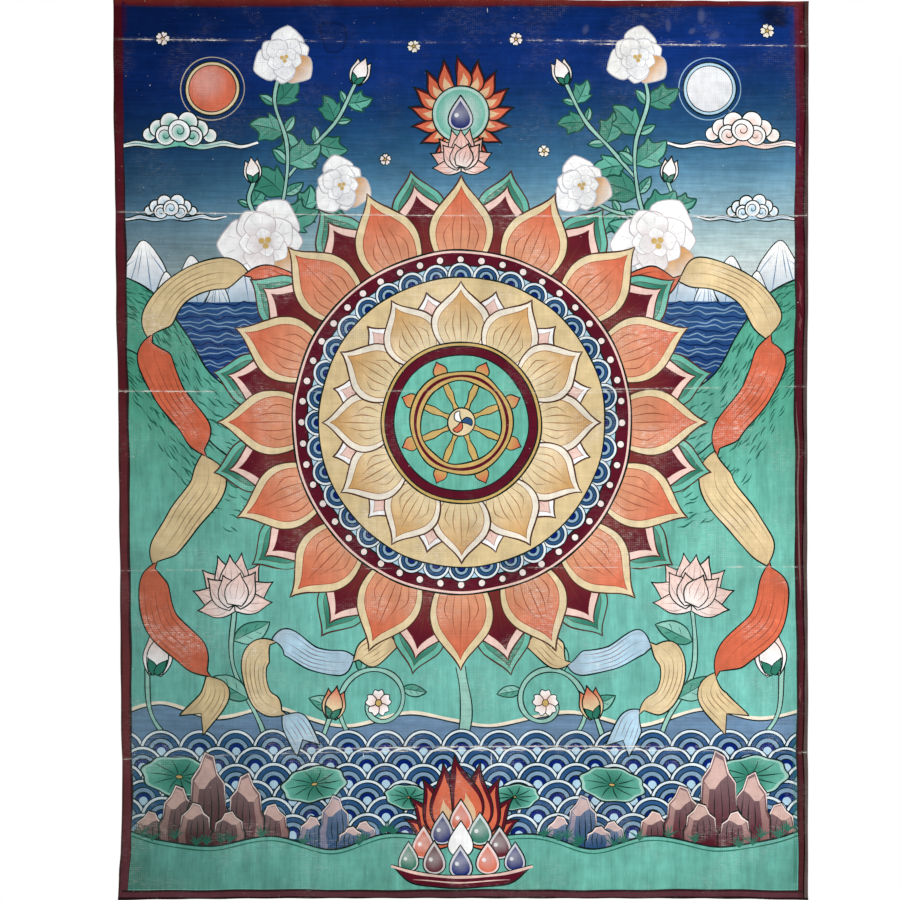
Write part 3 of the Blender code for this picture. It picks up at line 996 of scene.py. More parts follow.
def paint_shore(canvas):
    """The near bank, with rocks behind its edge, tufts of grass, and a dish of jewels."""
    p = canvas.pigments
    for side in (-1, 1):
        tall = ((-48, 28, 26), (48, 34, 28), (-26, 48, 30), (27, 58, 30), (2 * side, 74, 34), (-12, 34, 28),
                (14, 28, 26))
        low = ((-20, 26, 24), (20, 22, 22), (-2, 42, 26), (10, 18, 22))
        paint_rock(canvas, complex(side * 200, 660), tall, p.maroon)
        paint_rock(canvas, complex(side * 98, 662), low, p.steel)
    bank = smooth([(-BEYOND, 640), (-244, 654), (-200, 660), (-150, 652), (-104, 662), (-56, 650), (0, 656),
                   (56, 650), (104, 662), (150, 652), (200, 660), (244, 654), (BEYOND, 640)], step=4)
    outline = np.concatenate((bank, points_of([(BEYOND, UNDER), (-BEYOND, UNDER)])))
    canvas.fill(outline, bands(GROUND), WASH_DOWN)
    canvas.line(bank, 1.4)
    canvas.line(bank + 3.4j, 1.0, mix(p.leaf, p.ink, 0.2))
    tufts = np.random.default_rng(3)
    for spot in bank[tufts.choice(len(bank), 34, replace=False)]:
        foot = spot + complex(tufts.uniform(-4, 4), tufts.uniform(-3, 3))
        for lean in (-50, -26, -6, 14, 34, 54):
            length = tufts.uniform(5, 11)
            tip = foot + length * turn(-90 + lean)
            run = smooth([foot, mix(foot, tip, 0.5) - 0.12 * length * 1j, tip], step=3)
            canvas.line(run, 1.3, mix(p.leaf, p.ink, 0.25), taper=0.5)
    paint_flames(canvas, 656j, 62, 9, 74, 6)
    gems = ((0, 636, 11, p.orange), (-15, 646, 11, p.deep_blue), (15, 646, 11, p.leaf),
            (-30, 657, 11, p.orange), (30, 657, 11, p.maroon), (0, 654, 12, p.white),
            (-42, 668, 10, p.leaf), (42, 668, 10, p.deep_blue), (-21, 669, 11, p.maroon),
            (21, 669, 11, p.orange), (0, 672, 11, p.deep_blue))
    for x, y, size, colour in gems:
        paint_gem(canvas, complex(x, y), size, colour)
    lip = smooth([(-56, 674), (-30, 681), (0, 683), (30, 681), (56, 674)])
    bowl = smooth([(56, 674), (40, 688), (18, 692), (-18, 692), (-40, 688), (-56, 674)])
    canvas.shape(np.concatenate((lip, bowl[1:-1])), p.maroon, width=1.2)
    canvas.line(lip + 1.2j, 2.0, p.pink)
    canvas.line(smooth([(-38, 686), (0, 688.5), (38, 686)]), 1.0, p.pink, taper=0.2)


def paint_border(canvas):
    """A dark red band round the picture, with soft dark lines inside it and, beyond it, the bare ground with
    a painted shadow along the right edge.
    """
    p = canvas.pigments
    top, foot, left, right = 5.6, 694.6, -263.8, 260.6  # inner sides of the band
    above, out, below = -20, 290, 720  # past the cut edges
    narrowing = 0.0047  # by how much the right side's band grows narrower for each millimetre down
    reds = bands(((0, "#420c16"), (60, "#460f1d"), (120, "#561a27"), (300, "#582028"), (460, "#5c2f33"),
                  (560, "#5a2b2e"), (702, "#57313a")))
    reds_in_light = bands(((0, "#551520"), (120, "#511221"), (300, "#4e1622"), (460, "#4a1a23"),
                           (702, "#4e272a")))
    right_side = box(right, above, out, below)
    for outline, paint in ((box(-out, above, left, below), reds), (box(-out, foot, out, below), reds),
                           (right_side + narrowing * right_side.imag, reds_in_light)):
        canvas.fill(outline, paint, BORDER_COAT)
    reds_overhead = bands(((0, "#6f2a22"), (2.5, "#5d1a20"), (top, "#4d1524")))
    canvas.fill(box(-out, above, out, top), reds_overhead, BORDER_COAT)

    # Dark lines inside the band, and blue that runs softly into its two upper corners.
    dark = mix(p.maroon, p.ink, 0.72)
    for x, first, drift in ((left, 95, 0), (right, 130, narrowing)):
        line = np.linspace(complex(x, first), complex(x, foot), 110)
        canvas.line(line + drift * line.imag, 2.0, dark, taper=0.15)
    soft = fade(linear("#36092a"), linear("#0a1146"), left - 1, left + 4.4 + 0.19j, (1.0, 0.0))
    canvas.fill(box(left - 0.6, 2, left + 5.0, 150), soft, glaze=True)
    soft = fade(linear("#5a1e36"), linear("#222a62"), right + 2.4, right - 4.6 + 0.24j, (0.9, 0.0))
    canvas.fill(box(right - 4.6, 6.4, right + 3.4, 130), soft, glaze=True)
    canvas.fill(box(left - 4.5, foot - 1.0, right + 7, foot + 0.9), solid(dark, 0.75), DENSE_COAT)
    canvas.line(np.linspace(complex(left, top), complex(right, top), 90), 1.3, mix(dark, p.deep_blue, 0.3))

    # Beyond the band: a near-black line and the bare grey-brown ground on the right, its darkness partly a
    # painted shadow along that cut edge; the soiled cloth on the left; a near-black strip along the foot.
    brown = bands(((0, "#452c2a"), (60, "#43302f"), (250, "#4d403f"), (702, "#5a4d4a")))
    soiled = bands(((0, "#3a120f"), (250, "#442321"), (702, "#422a29")))
    canvas.fill(box(267.5, above, out, below), linear("#17060a"), DENSE_COAT)
    canvas.fill(box(268.6, above, out, below), brown, DENSE_COAT)
    canvas.fill(box(-out, above, -269.9, below), soiled, DENSE_COAT)
    canvas.fill(box(-out, 699.3, out, below), linear("#241416"), DENSE_COAT)


def paint_stains(canvas):
    """What happened to the scroll later: blots, smudges, drips, rubbed streaks, damp corners, scratches. Part
    of the damp glaze is painted shade, darkening the left side towards the foot.
    """
    p = canvas.pigments
    soot, chalk, dust, damp_and_shade = linear("#0a0d18"), linear("#dfe3ea"), linear("#8d7470"), linear("#24423a")
    for x, y, wide, tall, cover in ((245, 13, 14, 10, 0.72), (250, 18, 7, 6, 0.55), (237, 12, 7, 7, 0.45)):
        angles = np.arange(0, 6.2, 0.5)
        lobes = 1 + 0.2 * np.sin(3 * angles)
        blot = x + wide * np.cos(angles) + 1j * (y + tall * np.sin(angles) * lobes)
        spread = glow(soot, soot, complex(x, y), 0.3 * wide, wide, (cover, 0.06))
        canvas.fill(smooth(blot, closed=True), spread, glaze=True)
    mark = smooth([(-110, 20), (-98, 18.5), (-91, 21), (-90, 34), (-94, 40), (-104, 41), (-108, 33)],
                  closed=True)
    canvas.fill(mark, solid(soot, 0.14), glaze=True)
    canvas.line(mark, 1.8, solid(soot, 0.34), closed=True, glaze=True)
    for x, y, wide, tall in ((97, 24, 2.8, 4.4), (162, 20, 2.8, 5.0), (187, 13, 3.8, 5.6),
                             (180, 25, 3.4, 2.5), (197, 28, 4.4, 3.8), (143, 12, 5, 1.4)):
        middle = complex(x, y)
        angles = np.arange(0, 6.2, 0.45)
        uneven = 1 + 0.18 * np.sin(2 * angles + x)
        around = middle + uneven * (wide * np.cos(angles) + 1j * tall * np.sin(angles))
        smudge = smooth(around, closed=True, step=1.2)
        for share in (1.0, 0.75, 0.5):
            canvas.fill(mix(middle, smudge, share), solid(chalk, 0.018), glaze=True)
        canvas.line(smudge[: round(0.45 * len(smudge))], 0.8, solid(soot, 0.22), taper=0.4, glaze=True)
    drip = smooth([(263, 314), (264.2, 350), (263.6, 392), (265.4, 430), (265.8, 468)], step=4)
    canvas.line(drip, 1.2, solid(dust, 0.55), taper=0.2, glaze=True)
    for y, tall in ((230, 10), (252, 7), (118, 5), (541, 7)):
        rubbed = smooth([(264, y - tall), (265.4, y - 0.3 * tall), (264.6, y + 0.4 * tall),
                         (265.8, y + tall)])
        canvas.line(rubbed, 2.2, solid(linear("#b07a7a"), 0.20), taper=0.5, glaze=True)
    canvas.fill(box(259.6, 440, 262.8, 688), fade(p.leaf, p.leaf, 440j, 688j, (0.0, 0.42)), glaze=True)
    # Dark green glazes: damp stains in the two lower corners, and painted shade over the left side, darkest
    # low down.
    left, foot = -263.6, 693
    for outline, stain_and_shade in (
        (box(left, 430, -60, foot), fade(damp_and_shade, damp_and_shade, -264 + 640j, -90 + 520j, (0.34, 0.0))),
        (box(left, 320, -150, 620), glow(damp_and_shade, damp_and_shade, -300 + 470j, 40, 150, (0.20, 0.0))),
        (box(left, 610, -180, foot), glow(damp_and_shade, damp_and_shade, -262 + 694j, 6, 80, (0.40, 0.0))),
        (box(200, 630, 262.6, foot), glow(damp_and_shade, damp_and_shade, 262 + 694j, 4, 60, (0.34, 0.0))),
    ):
        canvas.fill(outline, stain_and_shade, glaze=True)
    for x, first, last in ((20.3, 6.4, 10.2), (-78, 587.5, 591.5), (23.4, 587.5, 598)):
        scratch = np.linspace(complex(x, first), complex(x + 0.3, last), 6)
        canvas.line(scratch, 0.7, solid(chalk, 0.8), taper=0.4, glaze=True)


def paint_picture(pigments):
    """Everything on the cloth, from the sky forward."""
    canvas = Canvas(pigments)
    paint_sky(canvas)
    paint_far_country(canvas)
    paint_crown(canvas)
    paint_pond(canvas)
    paint_plants(canvas)
    paint_floating(canvas)
    paint_scarves(canvas)
    paint_great_lotus(canvas)
    paint_shore(canvas)
    paint_border(canvas)
    paint_stains(canvas)
    return canvas


# ----------------------------------------------------------------------------- from canvas to cut triangles

GRID = 6.0  # spacing of the points that carry the cloth's shape, in millimetres
CLEAR = 1.6  # a grid point nearer than this to an outline's point is left out
EDGE_STEP = 4.0


def cut_edge():
    """The cloth's cut edge on the canvas, pulled a little uneven by the shears and by handling."""
    across = np.linspace(-1, 1, round(2 * HALF_WIDTH / EDGE_STEP))
    drop = np.linspace(0, 1, round(BOTTOM / EDGE_STEP))[1:-1]
    top = table_value(CUTS, "across", "top", across * SIDES[0].left) / MM
    foot = table_value(CUTS, "across", "bottom", across * SIDES[0].left) / MM
    upper = across * HALF_WIDTH + 1j * (top + 0.12 * np.sin(across * 61))
    lower = across * HALF_WIDTH + 1j * (foot - 0.15 - 0.15 * np.sin(across * 47))
    right = HALF_WIDTH - 0.12 - 0.12 * np.sin(drop * 71) + 1j * mix(top[-1], foot[-1], drop)
    left = -HALF_WIDTH + 0.14 + 0.14 * np.sin(drop * 83) + 1j * mix(top[0], foot[0], drop)
    return np.concatenate((upper, right, lower[::-1], left[::-1]))


def cut(points, edges):
    """The canvas cut into triangles, with an edge along each of the given lines."""
    places = [Vector((p.real, p.imag)) for p in points]
    result = delaunay_2d_cdt(places, edges, [], 0, 1e-5, False)
    return np.array([complex(*place) for place in result[0]]), np.array(result[2])


def closed_lines(outlines):
    """All the outlines' points in one row, and the pairs of them that each outline joins."""
    edges = []
    first = 0
    for outline in outlines:
        loop = np.arange(first, first + len(outline))
        edges.append(np.column_stack((loop, np.roll(loop, -1))))
        first += len(outline)
    return np.concatenate(outlines), np.concatenate(edges)


def layers_at(areas, at):
    """For each place, the uppermost area that hides what is under it, and the glazes laid over that."""
    order = np.argsort(at.imag)
    heights = at.imag[order]
    owner = np.full(len(at), -1)
    glazes = []
    for number, area in enumerate(areas):
        low, high = area.outline.imag.min(), area.outline.imag.max()
        near = order[np.searchsorted(heights, low) : np.searchsorted(heights, high)]
        near = near[(at.real[near] > area.outline.real.min()) & (at.real[near] < area.outline.real.max())]
        near = near[inside(area.outline, at[near])]
        if area.glaze:
            glazes.append((number, near))
        else:
            owner[near] = number
    glazes = [(number, near[owner[near] < number]) for number, near in glazes]
    return owner, glazes


def looks_of(owner, glazes):
    """One number for each place that is the same only where the same layers show."""
    looks = owner.astype(float) * 1000.0
    for number, near in glazes:
        looks[near] += 0.37 * (number + 1)
    return looks


def seen_edges(triangles, looks):
    """The edges on whose two sides different layers show."""
    edges = np.sort(triangles[:, [[0, 1], [1, 2], [2, 0]]].reshape(-1, 2), axis=1)
    looks = np.repeat(looks, 3)
    order = np.lexsort((edges[:, 1], edges[:, 0]))
    edges, looks = edges[order], looks[order]
    pair = np.flatnonzero((edges[1:] == edges[:-1]).all(axis=1))
    return edges[pair[looks[pair] != looks[pair + 1]]]


def straightened(points, edges, slack=0.06, longest=7.0):
    """The edges without the points on them that lie nearly straight between their two neighbours."""
    for _ in range(4):
        ends = np.concatenate((edges, edges[:, ::-1]))
        ends = ends[np.argsort(ends[:, 0], kind="stable")]
        count = np.bincount(ends[:, 0], minlength=len(points))
        two = np.flatnonzero(count == 2)
        first = np.searchsorted(ends[:, 0], two)
        a, b = ends[first, 1], ends[first + 1, 1]
        chord = points[b] - points[a]
        off = abs(((points[two] - points[a]) * chord.conjugate()).imag) / np.maximum(abs(chord), 1e-9)
        near = (off < slack) & (abs(chord) < longest)
        two, a, b = two[near], a[near], b[near]
        spare = np.zeros(len(points), bool)
        spare[two] = True
        lone = (~spare[a] | (a < two)) & (~spare[b] | (b < two))
        gone = np.zeros(len(points), bool)
        gone[two[lone]] = True
        edges = np.concatenate((edges[~gone[edges].any(axis=1)], np.column_stack((a[lone], b[lone]))))
    return edges


def grid_points(taken, edge):
    """A net of points over the cloth, inside its edge and clear of the points already taken."""
    columns = np.linspace(-HALF_WIDTH, HALF_WIDTH, round(2 * HALF_WIDTH / GRID) + 1)[1:-1]
    rows = np.linspace(0, BOTTOM, round(BOTTOM / GRID) + 1)[1:-1]
    net = columns[None] + 1j * rows[:, None]
    net[1::2] += GRID / 2
    net = net.ravel()
    busy = set()
    for point in np.concatenate((taken, edge)):
        x, y = round(point.real / CLEAR), round(point.imag / CLEAR)
        busy.update((x + i, y + j) for i in (-1, 0, 1) for j in (-1, 0, 1))
    free = [p for p in net if (round(p.real / CLEAR), round(p.imag / CLEAR)) not in busy]
    return np.array(free)[inside(edge, np.array(free))]


def crease_lines():
    """Rows of points along and beside each crease, so that its trough keeps its shape."""
    x = np.linspace(-HALF_WIDTH + 1, HALF_WIDTH - 1, 64)
    lines = []
    for crease in CREASES:
        fold = across_three(crease, x / HALF_WIDTH) / MM
        lines += [x + 1j * (fold + step / MM) for step in CREASE_ROWS[1:-1]]
    for twin in TWINS:
        lines.append(x + 1j * (across_three(twin.crease, x / HALF_WIDTH) / MM - twin.gap))
    return lines


def cut_canvas(canvas):
    """Points and triangles of the painted face, with the layers that each triangle shows."""
    edge = cut_edge()
    outlines = [area.outline for area in canvas.areas]
    points, edges = closed_lines([edge, *outlines])
    points, triangles = cut(points, edges.tolist())
    middles = points[triangles].mean(axis=1)
    looks = looks_of(*layers_at(canvas.areas, middles))
    looks[~inside(edge, middles)] = -1e6
    seen = straightened(points, seen_edges(triangles, looks))
    used, renumbered = np.unique(seen, return_inverse=True)
    taken = points[used]
    seen = renumbered.reshape(seen.shape)
    rows = crease_lines()
    parts = [taken, grid_points(taken, edge)]
    edges = [seen]
    first = sum(len(part) for part in parts)
    for row in rows:
        ends = np.arange(first, first + len(row))
        edges.append(np.column_stack((ends[:-1], ends[1:])))
        parts.append(row)
        first += len(row)
    points, triangles = cut(np.concatenate(parts), np.concatenate(edges).tolist())
    middles = points[triangles].mean(axis=1)
    triangles = triangles[inside(edge, middles)]
    return points, triangles, *layers_at(canvas.areas, points[triangles].mean(axis=1))


def colour_corners(canvas, points, triangles, owner, glazes):
    """Colour and brush work at each corner of each triangle."""
    corners = points[triangles]
    colours = np.ones((len(triangles), 3, 4))
    order = np.argsort(owner, kind="stable")
    numbers, starts = np.unique(owner[order], return_index=True)
    for number, group in zip(numbers, np.split(order, starts[1:])):
        if number >= 0:
            colours[group] = canvas.areas[number].paint(corners[group].ravel()).reshape(-1, 3, 4)
    for number, group in glazes:
        layer = canvas.areas[number].paint(corners[group].ravel()).reshape(-1, 3, 4)
        colours[group] = mix(colours[group], layer, layer[..., 3:4])
    colours[..., 3] = 1
    brushes = np.array([area.brush for area in canvas.areas])[owner]
    return colours.reshape(-1, 4), np.repeat(brushes, 3, axis=0)


# --------------------------------------------------------------------------------------------- the mesh


def boundary_of(triangles):
    """The open edge of some triangles as one loop of points, in the direction of their corners."""
    edges = triangles[:, [[0, 1], [1, 2], [2, 0]]].reshape(-1, 2)
    pairs = set(map(tuple, edges.tolist()))
    ahead = {a: b for a, b in pairs if (b, a) not in pairs}
    loop = [next(iter(ahead))]
    while ahead[loop[-1]] != loop[0]:
        loop.append(ahead[loop[-1]])
    return np.array(loop)


def back_triangles(loop_points):
    """The unpainted back: the same edge, with a wider net of points inside it."""
    ring = np.arange(len(loop_points))
    net = grid_points(loop_points, loop_points)[::2]
    rows = crease_lines()
    points, triangles = cut(np.concatenate((loop_points, net, *rows)),
                            np.column_stack((ring, np.roll(ring, -1))).tolist())
    return points, triangles[inside(loop_points, points[triangles].mean(axis=1))]


def from_nearest_crease(at):
    """Distance from the nearest crease and how far paint has flaked off it, and both for the twin lines."""
    across = at.real / HALF_WIDTH
    away = np.array([at.imag - across_three(crease, across) / MM for crease in CREASES])
    nearest = np.abs(away).argmin(axis=0)
    flaked = np.array([np.interp(at.real, FLAKED_AT, row) for row in FLAKED])
    pick = np.arange(len(at))
    from_twins = np.array([abs(at.imag - across_three(twin.crease, across) / MM + twin.gap)
                           for twin in TWINS])
    twinned = np.array([np.interp(at.real, FLAKED_AT, twin.flaked) for twin in TWINS])
    closer = from_twins.argmin(axis=0)
    return np.abs(away[nearest, pick]), flaked[nearest, pick], from_twins[closer, pick], twinned[closer, pick]


def add_painted_cloth(sizes, pigments):
    """One closed sheet: the painted face, the bare back, and the cut edge between them."""
    canvas = paint_picture(pigments)
    face, triangles, owner, glazes = cut_canvas(canvas)
    colours, brushes = colour_corners(canvas, face, triangles, owner, glazes)
    used, renumbered = np.unique(triangles, return_inverse=True)
    face, triangles = face[used], renumbered.reshape(triangles.shape)
    loop = boundary_of(triangles)
    back, back_faces = back_triangles(face[loop])

    middle = face[loop]
    flat = np.concatenate((face, middle, back))
    across, drop = flat.real / HALF_WIDTH, flat.imag * MM
    places = on_back(across, drop)
    out = facing(across, drop)
    depth = np.concatenate((np.ones(len(face)), np.full(len(middle), 0.5), np.zeros(len(back))))
    places += out * depth[:, None] * sizes.thickness

    first_middle, first_back = len(face), len(face) + len(middle)
    ring = np.arange(len(loop))
    after = np.roll(ring, -1)
    upper = np.column_stack((loop[ring], loop[after], first_middle + after, first_middle + ring))
    lower = np.column_stack((first_middle + ring, first_middle + after,
                             first_back + after, first_back + ring))
    faces = [triangles[:, ::-1].tolist(), (back_faces + first_back).tolist(), upper.tolist(), lower.tolist()]
    mesh = bpy.data.meshes.new("painted_cloth_sheet")
    mesh.from_pydata(places.tolist(), [], [corner for part in faces for corner in part])

    counts = [len(part) for part in faces]
    mesh.polygons.foreach_set("material_index", np.repeat((0, 1, 2, 2), counts).astype(np.int32))
    corners = np.empty(len(mesh.loops), np.int32)
    mesh.loops.foreach_get("vertex_index", corners)
    painted = 3 * counts[0]
    write_colours(mesh, corners, colours, brushes, painted)
    write_wear(mesh, flat)
    write_maps(mesh, corners, flat, painted, 3 * counts[1])
    write_normals(mesh, corners, flat, out, painted, 3 * counts[1])
    cloth = bpy.data.objects.new("painted_cloth_sheet", mesh)
    bpy.context.scene.collection.objects.link(cloth)
    return cloth


def write_colours(mesh, corners, colours, brushes, painted):
    """Paint colour and brush work on the face's corners; the face's triangles were turned over."""
    paint = np.ones((len(corners), 4), np.float32)
    brush = np.zeros((len(corners), 4), np.float32)
    paint[:painted] = colours.reshape(-1, 3, 4)[:, ::-1].reshape(-1, 4)
    brush[:painted, :3] = brushes
    for name, values in (("paint", paint), ("brush", brush)):
        layer = mesh.attributes.new(name, "FLOAT_COLOR", "CORNER")
        layer.data.foreach_set("color", values.ravel())


def write_wear(mesh, flat):
    """How far each point is from its nearest crease and from the cut edge, in millimetres."""
    from_crease, flaked, from_twin, twinned = from_nearest_crease(flat)
    aside = HALF_WIDTH - np.abs(flat.real)
    from_edge = np.minimum(np.minimum(aside, flat.imag), BOTTOM - flat.imag)
    layers = (("from_crease", from_crease), ("flaked", flaked), ("from_twin", from_twin),
              ("twinned", twinned), ("from_edge", from_edge))
    for name, values in layers:
        layer = mesh.attributes.new(name, "FLOAT", "POINT")
        layer.data.foreach_set("value", values.astype(np.float32))


# The bake map: the painted face takes a share of its width, at full height. Beside the face, from another
# place across it, stand the back, at the foot and in a smaller share, and the rim above the back.
BAKE_SHARE = 0.775
BESIDE_FACE = 0.78
BACK_SHARE = 0.215
RIM_FOOT, RIM_SHARE = 0.32, 0.5


def write_maps(mesh, corners, flat, painted, bare):
    """A map of the cloth in metres for the materials, and one that lays all sides out apart."""
    place = flat[corners]
    cloth = np.column_stack((place.real, -place.imag)) * MM
    layer = mesh.uv_layers.new(name="Cloth")
    layer.data.foreach_set("uv", cloth.astype(np.float32).ravel())
    across = 0.5 + 0.5 * place.real / (HALF_WIDTH + 1)
    up = 1 - np.clip((place.imag + 1) / (BOTTOM + 2), 0, 1)
    apart = np.column_stack((across * BAKE_SHARE, up))
    beside = BESIDE_FACE + BACK_SHARE * across
    rest = slice(painted, painted + bare)
    apart[rest] = np.column_stack((beside[rest], BACK_SHARE * up[rest] / BAKE_SHARE))
    rim = slice(painted + bare, None)
    apart[rim] = np.column_stack((beside[rim], RIM_FOOT + RIM_SHARE * up[rim]))
    layer = mesh.uv_layers.new(name="OFBake")
    layer.data.foreach_set("uv", apart.astype(np.float32).ravel())
    mesh.uv_layers.active = mesh.uv_layers["Cloth"]


# A point of the cut edge this near to a side or to an end, in millimetres, faces out of that side or end.
SIDE_REACH, END_REACH = 1.2, 2.5


def write_normals(mesh, corners, flat, out, painted, bare):
    """Smooth shading from the cloth's own slope: forward on the face, backward on the back, and
    outward round the cut edge."""
    normals = out[corners].copy()
    normals[painted:] *= -1
    rim = slice(painted + bare, None)
    place = flat[corners[rim]]
    sideways = np.sign(place.real) * (HALF_WIDTH - np.abs(place.real) < SIDE_REACH)
    at_top = np.where(place.imag < END_REACH, 1.0, 0.0)
    at_foot = np.where(place.imag > BOTTOM - END_REACH, 1.0, 0.0)
    aside = np.column_stack((sideways, np.zeros(len(place)), at_top - at_foot))
    aside /= np.maximum(np.linalg.norm(aside, axis=1, keepdims=True), 1e-6)
    normals[rim] = aside
    mesh.polygons.foreach_set("use_smooth", np.ones(len(mesh.polygons), bool))
    mesh.update()
    mesh.normals_split_custom_set(normals.tolist())


# ------------------------------------------------------------------------------------------- materials

WAVE_TURN = 2 * pi / 20  # length of one wave of Blender's wave texture at scale 1


def add_node(tree, kind, inputs=(), output=0, **settings):
    """Adds a shader node, sets it up, feeds its inputs, and returns one of its outputs.

    Inputs are given by name or by number. A MapRange takes the value in 0, the range that it comes from in
    1 and 2, and the range that it goes to in 3 and 4. A Mix of colours takes its factor in 0 and its colours
    in 6 and 7, and gives the mixed colour as its output 2."""
    node = tree.nodes.new("ShaderNode" + kind)
    for name, value in settings.items():
        setattr(node, name, value)
    for key, value in dict(inputs).items():
        if isinstance(value, bpy.types.NodeSocket):
            tree.links.new(value, node.inputs[key])
        else:
            node.inputs[key].default_value = value
    return node.outputs[output]


def grain(tree, place, across, down, detail=3.0):
    """Uneven grain whose spots are so many metres across and down the cloth, mostly between 0.3 and 0.7."""
    spots = add_node(tree, "VectorMath", {0: place, 1: (1 / across, 1 / down, 1)}, operation="MULTIPLY")
    return add_node(tree, "TexNoise", {"Vector": spots, "Scale": 1.0, "Detail": detail})


def thread_crowns(tree, place, pitch):
    """The plain weave: near 1 on the crown of each thread and near 0 in the pits between them."""
    crowns = []
    for direction in "XY":
        crowns.append(add_node(
            tree, "TexWave",
            {"Vector": place, "Scale": WAVE_TURN / pitch, "Distortion": 2.2, "Detail": 2.0,
             "Detail Scale": 0.35},
            output=1, bands_direction=direction,
        ))
    return add_node(tree, "Math", {0: crowns[0], 1: crowns[1]}, operation="MAXIMUM")


def new_material(name, roughness, specular):
    """An empty material of a dull surface, with its node tree and its shader."""
    material = bpy.data.materials.new(name)
    material.use_nodes = True
    shader = material.node_tree.nodes["Principled BSDF"]
    shader.inputs["Roughness"].default_value = roughness
    shader.inputs["Specular IOR Level"].default_value = specular
    return material, material.node_tree, shader


